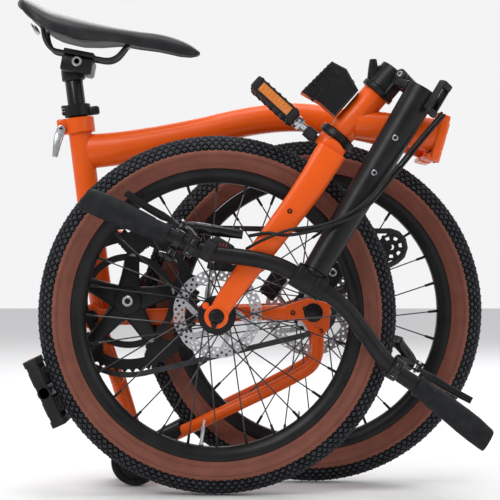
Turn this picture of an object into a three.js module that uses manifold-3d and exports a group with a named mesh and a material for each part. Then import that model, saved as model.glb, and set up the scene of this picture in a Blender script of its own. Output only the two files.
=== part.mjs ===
// A folding bicycle with 20-inch wheels, folded and standing on its wheels and transport rollers.
// Millimetres, +Z up. +X points to the frame's front, +Y to its left side, away from the chain side.
// The rear frame half lies in the plane y = 0 of the "bike" group, and the front half with its wheel
// is folded flat against its right side.
import * as THREE from "three";
import { mergeVertices } from "three/addons/utils/BufferGeometryUtils.js";
import Module from "manifold-3d";

// ---------- driving dimensions ----------
const RUN = 0.6; // clearance between pieces that turn on or touch each other
const TYRE = { radius: 257, width: 54, bore: 208.6 };
const RIM = { outer: 208, inner: 188, width: 30 };
const HUB_WIDTH = { front: 100, rear: 102 };
const FRONT_Y = -140; // the folded front half and its wheel lie this far to the right
const FRONT_AXLE = [-47, FRONT_Y, 257];
const REAR_AXLE = [93, 0, 257];
const BB = [-180, 0, 274]; // bottom bracket
const PIVOT = [-236, 0, 249]; // rear triangle's pivot
const HEAD_LOWER = [123, FRONT_Y, 508]; // lower headset ring
const HEAD_ANGLE = 49; // steering axis above the ground plane, degrees
const HEAD_LENGTH = 86;
const FOLD_PIN = { at: [277, -70, 508], lean: 16 }; // main hinge; lean in degrees from upright
const SEAT_TUBE = { top: [-257.7, 0, 541], low: [-224.6, 0, 274], radius: 17.5 };
const POST = { radius: 13.5, length: 348, top: 618 };
const TUBE = 22; // main tube radius
const ROLLER = { centre: [-170, 0, 36], radius: 36, width: 14, offset: 46 };
const CHAINRING = { radius: 107, y: -45, bolt_circle: 65 };
const CRANK = { length: 170, y: -64 };
const STEM_PLANE = -218; // the folded handlebar clamp lies this far to the right
const SPOKES = 16;

// ---------- helpers ----------
const wasm = await Module();
wasm.setup();
const V = (p) => (p.isVector3 ? p.clone() : new THREE.Vector3(...p));
const rad = THREE.MathUtils.degToRad;

function toSolid(geometry) {
  const plain = (geometry.index ? geometry.toNonIndexed() : geometry).clone();
  plain.deleteAttribute("normal");
  plain.deleteAttribute("uv");
  const merged = mergeVertices(plain, 1e-3);
  const mesh = new wasm.Mesh({
    numProp: 3,
    vertProperties: new Float32Array(merged.attributes.position.array),
    triVerts: new Uint32Array(merged.index.array),
  });
  return new wasm.Manifold(mesh);
}

function toGeometry(solid) {
  const mesh = solid.asOriginal().simplify(0.03).getMesh(); // drops slivers left by joins and cuts
  const points = new Float32Array(mesh.numVert * 3);
  for (let i = 0; i < mesh.numVert; i++) {
    const start = i * mesh.numProp;
    points.set(mesh.vertProperties.subarray(start, start + 3), i * 3);
  }
  const geometry = new THREE.BufferGeometry();
  geometry.setAttribute("position", new THREE.BufferAttribute(points, 3));
  geometry.setIndex(new THREE.BufferAttribute(new Uint32Array(mesh.triVerts), 1));
  geometry.computeVertexNormals();
  return geometry;
}

const join = (...solids) => solids.reduce((a, b) => a.add(b));
const cut = (body, ...tools) => tools.reduce((a, b) => a.subtract(b), body);

// A frame whose z axis runs along `along` and whose x axis leans towards `side`.
function frameAt(at, along, side = [1, 0, 0]) {
  const z = V(along).normalize();
  const x = V(side).addScaledVector(z, -V(side).dot(z));
  if (x.length() < 1e-3) x.set(z.y, z.z, z.x).addScaledVector(z, -(z.y * z.x + z.z * z.y + z.x * z.z));
  x.normalize();
  const y = z.clone().cross(x);
  return new THREE.Matrix4().makeBasis(x, y, z).setPosition(V(at));
}

// A round or oval bar from one point to another, sides may taper.
function bar(from, to, r0, r1 = r0, seg = 10, flat = 1, side = [0, 1, 0]) {
  const a = V(from);
  const b = V(to);
  const g = new THREE.CylinderGeometry(r1, r0, a.distanceTo(b), seg);
  g.rotateX(Math.PI / 2);
  g.scale(flat, 1, 1);
  g.applyMatrix4(frameAt(a.clone().lerp(b, 0.5), b.clone().sub(a), side));
  return toSolid(g);
}

// A disc or sleeve with its axis along Y.
function disc(at, radius, width, seg = 12) {
  const [x, y, z] = at;
  return bar([x, y - width / 2, z], [x, y + width / 2, z], radius, radius, seg, 1, [1, 0, 0]);
}

function block(at, size, along = [0, 0, 1], side = [1, 0, 0]) {
  const g = new THREE.BoxGeometry(...size);
  g.applyMatrix4(frameAt(at, along, side));
  return toSolid(g);
}

// A flat plate: an outline in the XZ plane, between two values of y.
function plate(outline, y0, y1, holes = []) {
  const shape = new THREE.Shape(outline.map(([x, z]) => new THREE.Vector2(x, z)));
  const options = { depth: Math.abs(y1 - y0), bevelEnabled: false };
  const g = new THREE.ExtrudeGeometry(shape, options);
  g.rotateX(Math.PI / 2);
  g.translate(0, Math.max(y0, y1), 0);
  const drills = holes.map(([x, z, r]) => disc([x, (y0 + y1) / 2, z], r, Math.abs(y1 - y0) + 4, 14));
  return cut(toSolid(g), ...drills);
}

// Rings of points joined into one closed skin with flat ends.
function loft(rings) {
  const n = rings[0].length;
  const points = rings.flat();
  const index = [];
  for (let k = 0; k + 1 < rings.length; k++) {
    for (let i = 0; i < n; i++) {
      const a = k * n + i;
      const b = k * n + ((i + 1) % n);
      index.push(a, b, a + n, b, b + n, a + n);
    }
  }
  const last = (rings.length - 1) * n;
  for (let i = 1; i + 1 < n; i++) {
    index.push(0, i + 1, i);
    index.push(last, last + i, last + i + 1);
  }
  const g = new THREE.BufferGeometry().setFromPoints(points);
  g.setIndex(index);
  const solid = toSolid(g);
  if (solid.volume() > 0) return solid;
  const flipped = new THREE.BufferGeometry().setFromPoints(points);
  flipped.setIndex(index.reverse());
  return toSolid(flipped);
}

// A smooth tube through points; `radii` gives [across, along `side`] at each point.
function sweep(points, radii, options = {}) {
  const { steps = 16, seg = 10, side = [0, 1, 0] } = options;
  const curve = new THREE.CatmullRomCurve3(points.map(V), false, "centripetal");
  const rings = [];
  for (let k = 0; k <= steps; k++) {
    const t = k / steps;
    const at = curve.getPoint(t);
    const frame = frameAt(at, curve.getTangent(t), side);
    const place = t * (points.length - 1);
    const i = Math.min(Math.floor(place), points.length - 2);
    const pick = (j) => (Array.isArray(radii) ? radii[j] : radii);
    const size = (j, c) => (Array.isArray(pick(j)) ? pick(j)[c] : pick(j));
    const mix = (c) => THREE.MathUtils.lerp(size(i, c), size(i + 1, c), place - i);
    const ring = [];
    for (let s = 0; s < seg; s++) {
      const turn = ((s + 0.5) / seg) * 2 * Math.PI;
      const p = new THREE.Vector3(mix(1) * Math.cos(turn), mix(0) * Math.sin(turn), 0);
      ring.push(p.applyMatrix4(frame));
    }
    rings.push(ring);
  }
  return loft(rings);
}

// A profile of [radius, y] turned about a Y axis through `at`.
function turned(at, profile, seg = 40) {
  const g = new THREE.LatheGeometry(profile.map(([r, y]) => new THREE.Vector2(r, y)), seg);
  g.translate(...at);
  const solid = toSolid(g);
  if (solid.volume() > 0) return solid;
  g.index.array.reverse();
  return toSolid(g);
}

// A washer about a Y axis.
const washer = (at, outer, inner, width, seg = 24) =>
  turned(
    at,
    [
      [outer, -width / 2],
      [outer, width / 2],
      [inner, width / 2],
      [inner, -width / 2],
      [outer, -width / 2],
    ],
    seg,
  );

const PAINT = {
  orange: [0xe8641c, 0.35, 0.1],
  black: [0x17181a, 0.5, 0.2],
  steel: [0xb9bcc0, 0.35, 0.9],
  dark: [0x3a3c40, 0.45, 0.7],
  rubber: [0x202122, 0.9, 0],
};

const bike = new THREE.Group();

// A group that marks a joint: its origin lies on the joint's axis and its z axis along it.
function jointAt(name, at, along, parent = bike) {
  const mark = new THREE.Group();
  mark.name = name;
  mark.applyMatrix4(frameAt(at, along));
  parent.add(mark);
}

function add(name, paint, solid, parent = bike) {
  const [color, roughness, metalness] = PAINT[paint];
  const material = new THREE.MeshStandardMaterial({ color, roughness, metalness });
  const mesh = new THREE.Mesh(toGeometry(solid), material);
  mesh.name = name;
  parent.add(mesh);
}

// ---------- wheels ----------
const atY = (at, dy) => [at[0], at[1] + dy, at[2]];

function spokesSolid(at, hubHalf, hubRadius) {
  const flange = hubRadius - 2;
  let solid = washer(at, hubRadius, flange - 1, 2 * hubHalf + 2, 14);
  for (let i = 0; i < SPOKES; i++) {
    const inner = (i * 2 * Math.PI) / SPOKES;
    const outer = inner + (Math.floor(i / 2) % 2 ? 0.26 : -0.26);
    const side = i % 2 ? 1 : -1;
    const flange = hubRadius - 1;
    const from = [
      at[0] + flange * Math.cos(inner),
      at[1] + side * hubHalf,
      at[2] + flange * Math.sin(inner),
    ];
    const reach = RIM.inner - 2;
    const to = [at[0] + reach * Math.cos(outer), at[1] + side * 3, at[2] + reach * Math.sin(outer)];
    solid = solid.add(bar(from, to, 1.2, 1.2, 3));
  }
  return solid;
}

function wheel(name, at, hubWidth, rotorY, rotorRadius) {
  const half = TYRE.width / 2;
  const belly = TYRE.radius - half;
  const arc = [];
  for (let k = 0; k <= 6; k++) {
    const a = (k / 6) * Math.PI;
    arc.push([belly + half * Math.sin(a), -half * Math.cos(a)]);
  }
  const bead = RIM.width / 2 - 1;
  const outline = [[TYRE.bore, bead], [TYRE.bore, -bead], ...arc, [TYRE.bore, bead]];
  add(name + "_tyre", "rubber", turned(at, outline, 36));
  const r = RIM.width / 2;
  const rim = [
    [RIM.outer, -r],
    [RIM.outer, r],
    [RIM.inner, 6],
    [RIM.inner, -6],
    [RIM.outer, -r],
  ];
  add(name + "_rim", "black", turned(at, rim, 36));
  const flange = name === "rear" ? 31 : 27;
  const hubHalf = name === "rear" ? 24 : 27;
  add(name + "_spokes", "dark", spokesSolid(at, hubHalf, flange));
  const barrel = washer(at, 15, 6.6, hubWidth - 6, 12);
  const plates = [-hubHalf + 3.6, hubHalf - 3.6].map((dy) => washer(atY(at, dy), flange - 3.6, 8, 4, 14));
  const cog = name === "rear" ? [washer([at[0], CHAINRING.y, at[2]], 29, 8, 4, 16)] : [];
  add(name + "_hub", "black", join(barrel, ...plates, ...cog));
  const slots = [];
  for (let i = 0; i < 6; i++) {
    const a = (i * Math.PI) / 3;
    const reach = rotorRadius - 10;
    slots.push(disc([at[0] + reach * Math.cos(a), rotorY, at[2] + reach * Math.sin(a)], 4, 6, 6));
  }
  add(name + "_brake_disc", "steel", cut(washer([at[0], rotorY, at[2]], rotorRadius, 16, 2, 24), ...slots));
}
wheel("front", FRONT_AXLE, HUB_WIDTH.front, FRONT_Y + 38, 65);
wheel("rear", REAR_AXLE, HUB_WIDTH.rear, 42, 70);

// ---------- fork and headset ----------
const headDir = new THREE.Vector3(Math.cos(rad(HEAD_ANGLE)), 0, Math.sin(rad(HEAD_ANGLE)));
const headFront = new THREE.Vector3(headDir.z, 0, -headDir.x); // square to the axis, towards the hinge
const onHead = (up, ahead = 0, left = 0) =>
  V(HEAD_LOWER)
    .addScaledVector(headDir, up)
    .addScaledVector(headFront, ahead)
    .add(new THREE.Vector3(0, left, 0));

function forkSolid() {
  const [x, y, z] = FRONT_AXLE;
  const crown = onHead(-22, 6);
  const legs = [-1, 1].map((side) => {
    const top = [crown.x, y + side * 54, crown.z];
    const knee = [crown.x - 34, y + side * 57, crown.z - 55];
    const foot = [x + 8, y + side * 57, z + 14];
    const radii = [[22, 8.5], [20, 8], [14, 6.5], [13, 6]];
    return sweep([top, knee, foot, [x, y + side * 57, z]], radii, { steps: 4, seg: 8 });
  });
  const crownBar = sweep(
    [[crown.x + 1, y - 55, crown.z + 1], [crown.x, y, crown.z + 4], [crown.x + 1, y + 55, crown.z + 1]],
    [[18, 15], [18, 18], [18, 15]],
    { steps: 4, seg: 8, side: [0.6, 0, 0.8] },
  );
  const steerer = bar(onHead(-23.7), onHead(HEAD_LENGTH + 40), 14, 14, 14);
  const drop = [-1, 1].map((side) => disc([x, y + side * 57, z], 17, 13, 18));
  const solid = cut(join(...legs, crownBar, ...drop), bar([x, y - 80, z], [x, y + 80, z], 6.6));
  return join(solid, steerer);
}
add("fork", "orange", forkSolid());
const headsetRing = bar(onHead(-2), onHead(9), 28, 28, 20);
add("lower_headset_ring", "black", cut(headsetRing, bar(onHead(-9), onHead(12), 15, 15, 14)));

function axle(name, at, half, cap) {
  const y0 = at[1] - half;
  const y1 = at[1] + half;
  const rod = bar([at[0], y0, at[2]], [at[0], y1, at[2]], 6, 6, 12);
  const caps = [y0 - 3, y1 + 3].map((y) => disc([at[0], y, at[2]], cap, 8, 12));
  add(name, "black", join(rod, ...caps));
}
add("front_axle", "black", cut(
  join(bar(atY(FRONT_AXLE, -67), atY(FRONT_AXLE, 63.4), 6, 6, 12), disc(atY(FRONT_AXLE, -68), 11, 8, 12)),
  bar(atY(FRONT_AXLE, -73), atY(FRONT_AXLE, -66), 3, 3, 6),
));

// A brake caliper straddling the disc, bolted to the fork leg or stay beyond it.
function caliper(name, at, discY, y0, y1, lean) {
  const [x, z] = at;
  const c = Math.cos(rad(lean));
  const s = Math.sin(rad(lean));
  const corner = (a, b) => [x + a * c - b * s, z + a * s + b * c];
  const outline = [corner(-22, -11), corner(20, -11), corner(24, 6), corner(14, 15), corner(-20, 13)];
  const slot = block([x, discY, z], [90, 4, 90]);
  const back = plate([corner(-22, 8), corner(24, 8), corner(24, 16), corner(-22, 16)], y0, y1);
  add(name, "black", join(cut(plate(outline, y0, y1), slot), back));
}
caliper("front_brake_caliper", [-40, 330], FRONT_Y + 38, FRONT_Y + 28.5, FRONT_Y + 48, -5);

// ---------- front frame half ----------
const pinDir = new THREE.Vector3(Math.sin(rad(FOLD_PIN.lean)), 0, Math.cos(rad(FOLD_PIN.lean)));
const pinOut = new THREE.Vector3(pinDir.z, 0, -pinDir.x); // square to the pin, outwards
const onPin = (up, out = 0, left = 0) =>
  V(FOLD_PIN.at)
    .addScaledVector(pinDir, up)
    .addScaledVector(pinOut, out)
    .add(new THREE.Vector3(0, left, 0));
const hingeBlock = (up, out, left, size) => block(onPin(up, out, left), size, pinDir, pinOut);
const pinHole = bar(onPin(-60), onPin(60), 4.6, 4.6, 12);

function frontFrameSolid() {
  const head = bar(onHead(10), onHead(HEAD_LENGTH), 20, 20, 20);
  const tubeStart = onHead(34, 6);
  const tubeEnd = onPin(2, -5, -70);
  const tubeMiddle = tubeStart.clone().lerp(tubeEnd, 0.5).add(new THREE.Vector3(0, 0, 3));
  const tube = sweep([tubeStart, tubeMiddle, tubeEnd],
    [[TUBE, 20], [TUBE, TUBE], [TUBE, 26]], { steps: 6, seg: 14, side: [0, 0, 1] });
  const flange = hingeBlock(0, -7, -52, [13, 84, 66]);
  const rimUp = hingeBlock(30, -13, -52, [14, 80, 7]);
  const rimDown = hingeBlock(-30, -13, -52, [14, 80, 7]);
  const knuckle = bar(onPin(-12), onPin(12), 9, 9, 14);
  const web = hingeBlock(0, -5.5, -12, [10, 22, 24]);
  const solid = join(head, tube, flange, rimUp, rimDown, knuckle, web);
  return cut(solid, bar(onHead(-20), onHead(HEAD_LENGTH + 30), 14.6, 14.6, 14), pinHole,
    bar(onPin(12.6), onPin(40), 9.6, 9.6, 14), bar(onPin(-40), onPin(-12.6), 9.6, 9.6, 14));
}
add("front_frame_half", "orange", frontFrameSolid());

const blockOutline = [[72, 574], [100, 558], [121.6, 538.4], [154.4, 576.1], [137, 607], [116, 618]];
add("luggage_block", "black", plate(blockOutline, FRONT_Y - 26, FRONT_Y + 26));

// ---------- platform pedals ----------
// The spindle runs along `along`; the platform's thickness is square to `along` and `wide`.
function pedal(name, root, along, wide) {
  const out = V(along).normalize();
  const at = (d) => V(root).addScaledVector(out, d);
  const frame = cut(block(at(52), [104, 22, 78], out, wide), block(at(30), [74, 40, 20], out, wide),
    block(at(72), [74, 40, 20], out, wide));
  add(name + "_platform", "dark", cut(frame, bar(at(-10), at(100), 6.6, 6.6, 12)));
  const neck = join(bar(at(-8), at(84), 5.8, 5.8, 12), bar(at(1), at(11), 10, 10, 12));
  add(name + "_spindle", "steel", neck);
}
const stowedRoot = [74, FRONT_Y, 527];
pedal("stowed_pedal", stowedRoot, [-0.74, 0, 0.67], [0, 1, 0]);
const socket = cut(bar([80, FRONT_Y, 521.6], [92, FRONT_Y, 510.6], 9, 9, 12),
  bar([60, FRONT_Y, 539.7], [86, FRONT_Y, 516.2], 6.2, 6.2, 12));
const socketArm = bar([88, FRONT_Y, 514], [98.6, FRONT_Y, 502.8], 6, 6, 8);
add("pedal_holder", "black", cut(
  join(socket, socketArm),
  bar(onHead(-5), onHead(9.5), 29, 29, 20),
  bar(onHead(-5), onHead(90), 20.6, 20.6, 20),
  bar([60, FRONT_Y, 539.7], [86, FRONT_Y, 516.2], 6.2, 6.2, 12),
));

// ---------- rear frame half: seat tube, main tube, bottom bracket, fold flange ----------
function mainFrameSolid() {
  const seat = bar(SEAT_TUBE.low, SEAT_TUBE.top, SEAT_TUBE.radius, SEAT_TUBE.radius, 18);
  const foot = bar([-219.8, 0, 235], SEAT_TUBE.low, 16, SEAT_TUBE.radius, 18);
  const tube = sweep(
    [
      [-244, 0, 497], [-136, 0, 513], [-75, 0, 526], [0, 0, 543],
      [53, 0, 549], [90, 0, 548], [180, 0, 532], [268, 0, 510],
    ],
    [[27, 17], [23, 20], [22, 21], TUBE, TUBE, TUBE, [22, 22], [25, 22]],
    { steps: 10, seg: 12 },
  );
  const shell = disc(BB, 15, 55, 16);
  const lug = disc(PIVOT, 19, 36, 18);
  const bridge = plate([[-246, 236], [-238, 264], [-186, 292], [-184, 262], [-210, 236]], -14, 14);
  const hook = plate([[-208, 366], [-176, 366], [-168, 350], [-168, 292], [-200, 280]], -11, 11,
    [[-186, 330, 9]]);
  const flange = hingeBlock(0, -7, 51, [13, 82, 66]);
  const rims = [30, -30].map((up) => hingeBlock(up, -13, 51, [14, 78, 7]));
  const knuckles = [-1, 1].map((s) => bar(onPin(s * 12.6), onPin(s * 30), 9, 9, 14));
  const webs = [-1, 1].map((s) => hingeBlock(s * 21.3, -5.5, 12, [10, 22, 17.4]));
  const solid = join(seat, foot, tube, shell, lug, bridge, hook, flange, ...rims, ...knuckles, ...webs);
  const postBore = bar([-223.6, 0, 262], [-268, 0, 625], POST.radius + RUN, POST.radius + RUN, 18);
  const port = block([-98, 0, 500], [20, 12, 14]);
  const hingeGap = bar(onPin(-12.6), onPin(12.6), 9.6);
  const open = cut(solid, postBore, disc(BB, 8.6, 80), disc(PIVOT, 6.6, 60), hingeGap, port);
  return join(open, bar(onPin(-32), onPin(34), 4)); // the hinge pin is pressed into the outer knuckles
}
add("main_frame", "orange", mainFrameSolid());

// ---------- rear triangle ----------
const APEX = [-164, 0, 50]; // where the stays meet the suspension block
function rearFrameSolid() {
  const [x, , z] = REAR_AXLE;
  const sides = [-1, 1].map((s) => {
    const ear = disc([PIVOT[0], s * 28.5, PIVOT[2]], 17, 19, 12);
    const stay = sweep(
      [
        [PIVOT[0], s * 33.5, PIVOT[2]], [-150, s * 33.5, 250], [-60, s * 34, 253],
        [20, s * 52, 256], [60, s * 64, 257],
      ],
      [[12, 5], [12, 5], [12, 5], [11, 7], [11, 5]],
      { steps: 7, seg: 8 },
    );
    const dropout = [
      [x - 40, z + 11], [x - 10, z + 22], [x + 26, z + 14], [x + 24, z - 22],
      [x + 14, z - 36], [x - 2, z - 34], [x - 16, z - 12], [x - 40, z - 11],
    ];
    const drop = plate(dropout, s * 60, s * 67);
    const seatstay = sweep(
      [
        [x + 6, s * 63, z - 22], [x + 4, s * 63, z - 62], [x - 22, s * 62, z - 92],
        [-60, s * 52, 100], [-128, s * 26, 66], APEX,
      ],
      [[10, 6], 10, 10, 10, 10, 10],
      { steps: 9, seg: 8 },
    );
    const fork = sweep(
      [[PIVOT[0], s * 24, PIVOT[2]], [-222, s * 23, 214], [-198, s * 17, 150]],
      [[12, 4.6], [11, 4.6], [9, 8]],
      { steps: 4, seg: 8 },
    );
    return join(ear, stay, drop, seatstay, fork);
  });
  const strut = bar([-201, 0, 162], [-172, 0, 66], 12, 12, 12);
  const yoke = bar([-199, -21, 155], [-199, 21, 155], 10, 10, 10);
  const apex = disc(APEX, 14, 40, 16);
  const arms = disc(ROLLER.centre, 8, 2 * (ROLLER.offset - ROLLER.width / 2 - RUN), 12);
  const wheelRoom = washer(REAR_AXLE, TYRE.radius + 2.5, 150, TYRE.width + 6, 28);
  const rollerEnd = ROLLER.offset + ROLLER.width / 2 + 3;
  const rollerAxle = join(disc(ROLLER.centre, 3, 2 * rollerEnd),
    ...[-1, 1].map((s) => disc(atY(ROLLER.centre, s * rollerEnd), 6, 4)));
  const solid = cut(join(...sides, strut, yoke, apex), wheelRoom);
  const pivotRoom = [disc(PIVOT, 6.6, 90, 14), disc(PIVOT, 20, 37.4, 20)];
  const whole = join(solid, arms, bar(ROLLER.centre, APEX, 9, 9, 10));
  return cut(whole, ...pivotRoom, disc(REAR_AXLE, 6.6, 160)).add(rollerAxle);
}
add("rear_frame", "orange", rearFrameSolid());
const pivotHeads = [-1, 1].map((s) => disc(atY(PIVOT, s * 40.2), 11, 3));
add("rear_pivot_bolt", "dark", join(disc(PIVOT, 6, 80), ...pivotHeads));
const axleNuts = [-1, 1].map((s) => disc(atY(REAR_AXLE, s * 72.5), 11, 8, 6));
add("rear_axle", "black", join(disc(REAR_AXLE, 6, 142, 14), ...axleNuts));
caliper("rear_brake_caliper", [38, 294], 42, 31, 58.8, 56);
const bolster = cut(
  plate([[-196, 34], [-178, 70], [-186, 92], [-201, 92], [-207, 60]], -12, 12),
  bar([-202, 0, 165], [-171, 0, 63], 12.6, 12.6, 12),
  disc(APEX, 15, 60, 16),
  disc(ROLLER.centre, 9, 90, 12),
);
add("suspension_block", "rubber", bolster);
for (const [side, s] of [["right", -1], ["left", 1]]) {
  const at = atY(ROLLER.centre, s * ROLLER.offset);
  const h = ROLLER.width / 2;
  const profile = [[ROLLER.radius, -h], [ROLLER.radius, h], [26, h], [26, 2.5], [9, 2.5], [9, h], [3.6, h],
    [3.6, -h], [9, -h], [9, -2.5], [26, -2.5], [26, -h], [ROLLER.radius, -h]];
  add("roller_" + side, "black", turned(at, profile, 16));
  jointAt("roller_spin_" + side, at, [0, 1, 0]);
}

// ---------- drivetrain ----------
add("bottom_bracket_axle", "steel", disc(BB, 8, 2 * 56, 14));
const CRANK_AIM = rad(228.7); // the right crank's direction in the XZ plane
const crankPoint = (reach, y, turn = 0) => [
  BB[0] + reach * Math.cos(CRANK_AIM + turn),
  y,
  BB[2] + reach * Math.sin(CRANK_AIM + turn),
];

function crankArm(y, turn) {
  const arm = sweep([crankPoint(0, y, turn), crankPoint(80, y, turn), crankPoint(CRANK.length, y, turn)],
    [[15, 6], [11, 6.5], [12, 6]], { steps: 4, seg: 8 });
  const eye = disc(crankPoint(CRANK.length, y, turn), 14, 14, 16);
  return join(arm, disc(crankPoint(0, y, turn), 21, 15, 18), eye);
}

function rightCrankSolid() {
  const arms = [1, 2, 3, 4].map((k) => {
    const turn = (k * 2 * Math.PI) / 5;
    const tip = crankPoint(CHAINRING.bolt_circle, -54, turn);
    return bar(crankPoint(8, -58, turn), tip, 7, 6, 8, 1.2, [1, 0, 0]);
  });
  const bolts = [0, 1, 2, 3, 4].map((k) =>
    disc(crankPoint(CHAINRING.bolt_circle, -51.5, (k * 2 * Math.PI) / 5), 6.5, 8, 6));
  const own = bar(crankPoint(CHAINRING.bolt_circle, -52), crankPoint(CHAINRING.bolt_circle, -62), 8, 8, 10);
  const solid = join(crankArm(CRANK.y, 0), ...arms, ...bolts, own, disc([BB[0], -58, BB[2]], 18, 10, 18));
  return cut(solid, disc(BB, 8.4, 112.8, 14), disc(crankPoint(CRANK.length, CRANK.y), 6.6, 40, 12));
}
add("right_crank", "black", rightCrankSolid());
const LEFT_CRANK_Y = 68;
const leftEye = disc(crankPoint(CRANK.length, LEFT_CRANK_Y, Math.PI), 6.6, 40, 12);
add("left_crank", "black", cut(crankArm(LEFT_CRANK_Y, Math.PI), disc(BB, 8.4, 112.8, 14), leftEye));
add("chainring", "black", washer([BB[0], CHAINRING.y, BB[2]], CHAINRING.radius, 56, 4, 54));
pedal("right_pedal", crankPoint(CRANK.length, -73), [0, -1, 0], [0.42, 0, -0.91]);

// ---------- seatpost and saddle ----------
const seatDir = V(SEAT_TUBE.top).sub(V(SEAT_TUBE.low)).normalize();
const onSeat = (z) => V(SEAT_TUBE.top).addScaledVector(seatDir, (z - SEAT_TUBE.top[2]) / seatDir.z);
const seatBar = (z0, z1, r0, r1 = r0, seg = 14) => bar(onSeat(z0), onSeat(z1), r0, r1, seg);
add("seatpost", "black", seatBar(POST.top - POST.length, POST.top, POST.radius));
add("seat_clamp", "orange", cut(
  join(seatBar(525, 548, 23), block(onSeat(534).add(new THREE.Vector3(-24, 0, 0)), [18, 24, 24], seatDir)),
  seatBar(470, 570, POST.radius + RUN),
  seatBar(470, 541.6, SEAT_TUBE.radius + RUN, undefined, 18),
  block(onSeat(534).add(new THREE.Vector3(-26, 0, 0)), [30, 4, 40], seatDir),
  disc(onSeat(530).add(new THREE.Vector3(-26, 0, 0)).toArray(), 3.6, 60, 10),
));
const leverAt = onSeat(530).add(new THREE.Vector3(-26, 0, 0)).toArray();
const leverPoint = (x, y, z) => [leverAt[0] + x, y, leverAt[2] + z];
const seatLever = sweep(
  [leverPoint(0, -17, 0), leverPoint(-4, -24, -14), leverPoint(-9, -27, -42)],
  [[7, 3.5], [7, 3], [4, 2.5]],
  { steps: 4, seg: 8 },
);
add("seat_clamp_lever", "steel", join(
  seatLever,
  disc(leverAt, 3, 36, 10),
  disc(leverPoint(0, -17, 0), 6, 8, 10),
  disc(leverPoint(0, 17, 0), 6, 6, 10),
));
add("post_collar", "black", cut(
  join(seatBar(550, 568, 20), block(onSeat(559).add(new THREE.Vector3(24, 0, 0)), [20, 16, 14], seatDir)),
  seatBar(530, 600, POST.radius + 0.3),
));
const RAIL_Y = 22;
const RAIL_SLOPE = [0.19, 0, 1]; // square to the rails' straight part
const clampAt = onSeat(POST.top + 12).add(new THREE.Vector3(11, 0, 0));
add("saddle_clamp", "black", cut(
  join(block(clampAt, [48, 70, 34], RAIL_SLOPE), seatBar(POST.top - 14, POST.top + 6, 18)),
  seatBar(POST.top - 30, POST.top + RUN, POST.radius + 0.3),
  ...[-1, 1].map((s) => block([-257.5, s * (RAIL_Y + 1.5), 640.8], [64, 13, 13], RAIL_SLOPE)),
));
const rails = [-1, 1].map((s) => sweep(
  [
    [-309, s * 32, 682], [-305, s * 30, 662], [-296, s * 25, 649.5], [-280, s * RAIL_Y, 645],
    [-235, s * RAIL_Y, 636.5], [-212, s * 20, 633.5], [-200, s * 17, 638], [-184, s * 11, 656],
  ],
  3.4, { steps: 10, seg: 8 }));
const railEnds = [[-184, 12, 656], [-309, 34, 682]].map(([x, y, z]) => bar([x, -y, z], [x, y, z], 4, 4, 8));
add("saddle_rails", "dark", join(...rails, ...railEnds));

// Each station of the saddle is a flat-bottomed oval: x, half width, height of the top, height of the rim.
const SADDLE = [
  [-347, 26, 722, 712], [-338, 54, 725.5, 702], [-317, 70, 716, 684], [-287, 73, 704, 667],
  [-256, 66, 696, 658], [-215, 46, 687, 656], [-165, 26, 679, 650], [-110, 21, 667, 640],
  [-84, 17, 655, 638], [-75, 9, 647, 641],
];
const saddleRings = SADDLE.map(([x, half, top, rim]) => {
  const ring = [];
  for (let k = 0; k <= 8; k++) {
    const a = (k / 8) * Math.PI;
    ring.push(new THREE.Vector3(x, -half * Math.cos(a), rim + 4 + (top - rim - 4) * Math.sin(a) ** 0.6));
  }
  ring.push(new THREE.Vector3(x, half * 0.9, rim), new THREE.Vector3(x, -half * 0.9, rim));
  return ring;
});
const railRoom = join(block([-309, 0, 684], [16, 84, 20]), block([-184, 0, 657], [16, 40, 14]),
  ...[-1, 1].map((s) => block([-190, s * 14, 654], [30, 16, 12])));
add("saddle", "black", cut(loft(saddleRings), railRoom));

// ---------- handlepost and handlebar ----------
// The cockpit is laid out as it stands in riding position, above the fork, and then turned down
// about its hinge. The hinge line lies across the corner of the post's foot.
const STEM = { foot: 130, bar: 445, radius: 22.5, top: 18.5 };
const foldedDir = new THREE.Vector3(-0.5128, -0.0978, -0.853).normalize();
const foldedFoot = new THREE.Vector3(243, STEM_PLANE + 31, 574.9);
const stemHinge = new THREE.Vector3(0.575, 0.707, -0.412);
const mirror = headDir.clone().sub(foldedDir);
stemHinge.addScaledVector(mirror, -stemHinge.dot(mirror) / mirror.lengthSq()).normalize();
const footMove = foldedFoot.clone().sub(onHead(STEM.foot));
footMove.addScaledVector(stemHinge, -footMove.dot(stemHinge));
const flatPart = (v) => v.clone().addScaledVector(stemHinge, -v.dot(stemHinge));
const stemAngle = Math.atan2(
  stemHinge.dot(headDir.clone().cross(foldedDir)),
  flatPart(headDir).dot(flatPart(foldedDir)),
);
const stemHingeAt = onHead(STEM.foot)
  .addScaledVector(footMove, 0.5)
  .addScaledVector(stemHinge.clone().cross(footMove), 0.5 / Math.tan(stemAngle / 2));
const cockpit = new THREE.Group();
cockpit.applyMatrix4(
  new THREE.Matrix4().makeTranslation(stemHingeAt)
    .multiply(new THREE.Matrix4().makeRotationAxis(stemHinge, stemAngle))
    .multiply(new THREE.Matrix4().makeTranslation(stemHingeAt.clone().negate())),
);
bike.add(cockpit);
jointAt("handlepost_fold", stemHingeAt, stemHinge);

const hingeAlong = (d) => stemHingeAt.clone().addScaledVector(stemHinge, d);
const corner = (up, out) => onHead(up, out * Math.SQRT1_2, -out * Math.SQRT1_2); // towards the hinge
const hingeSide = corner(0, 1).sub(onHead(0));
const earBlock = (up, out, size) => block(corner(up, out), size, headDir, hingeSide);

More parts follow.
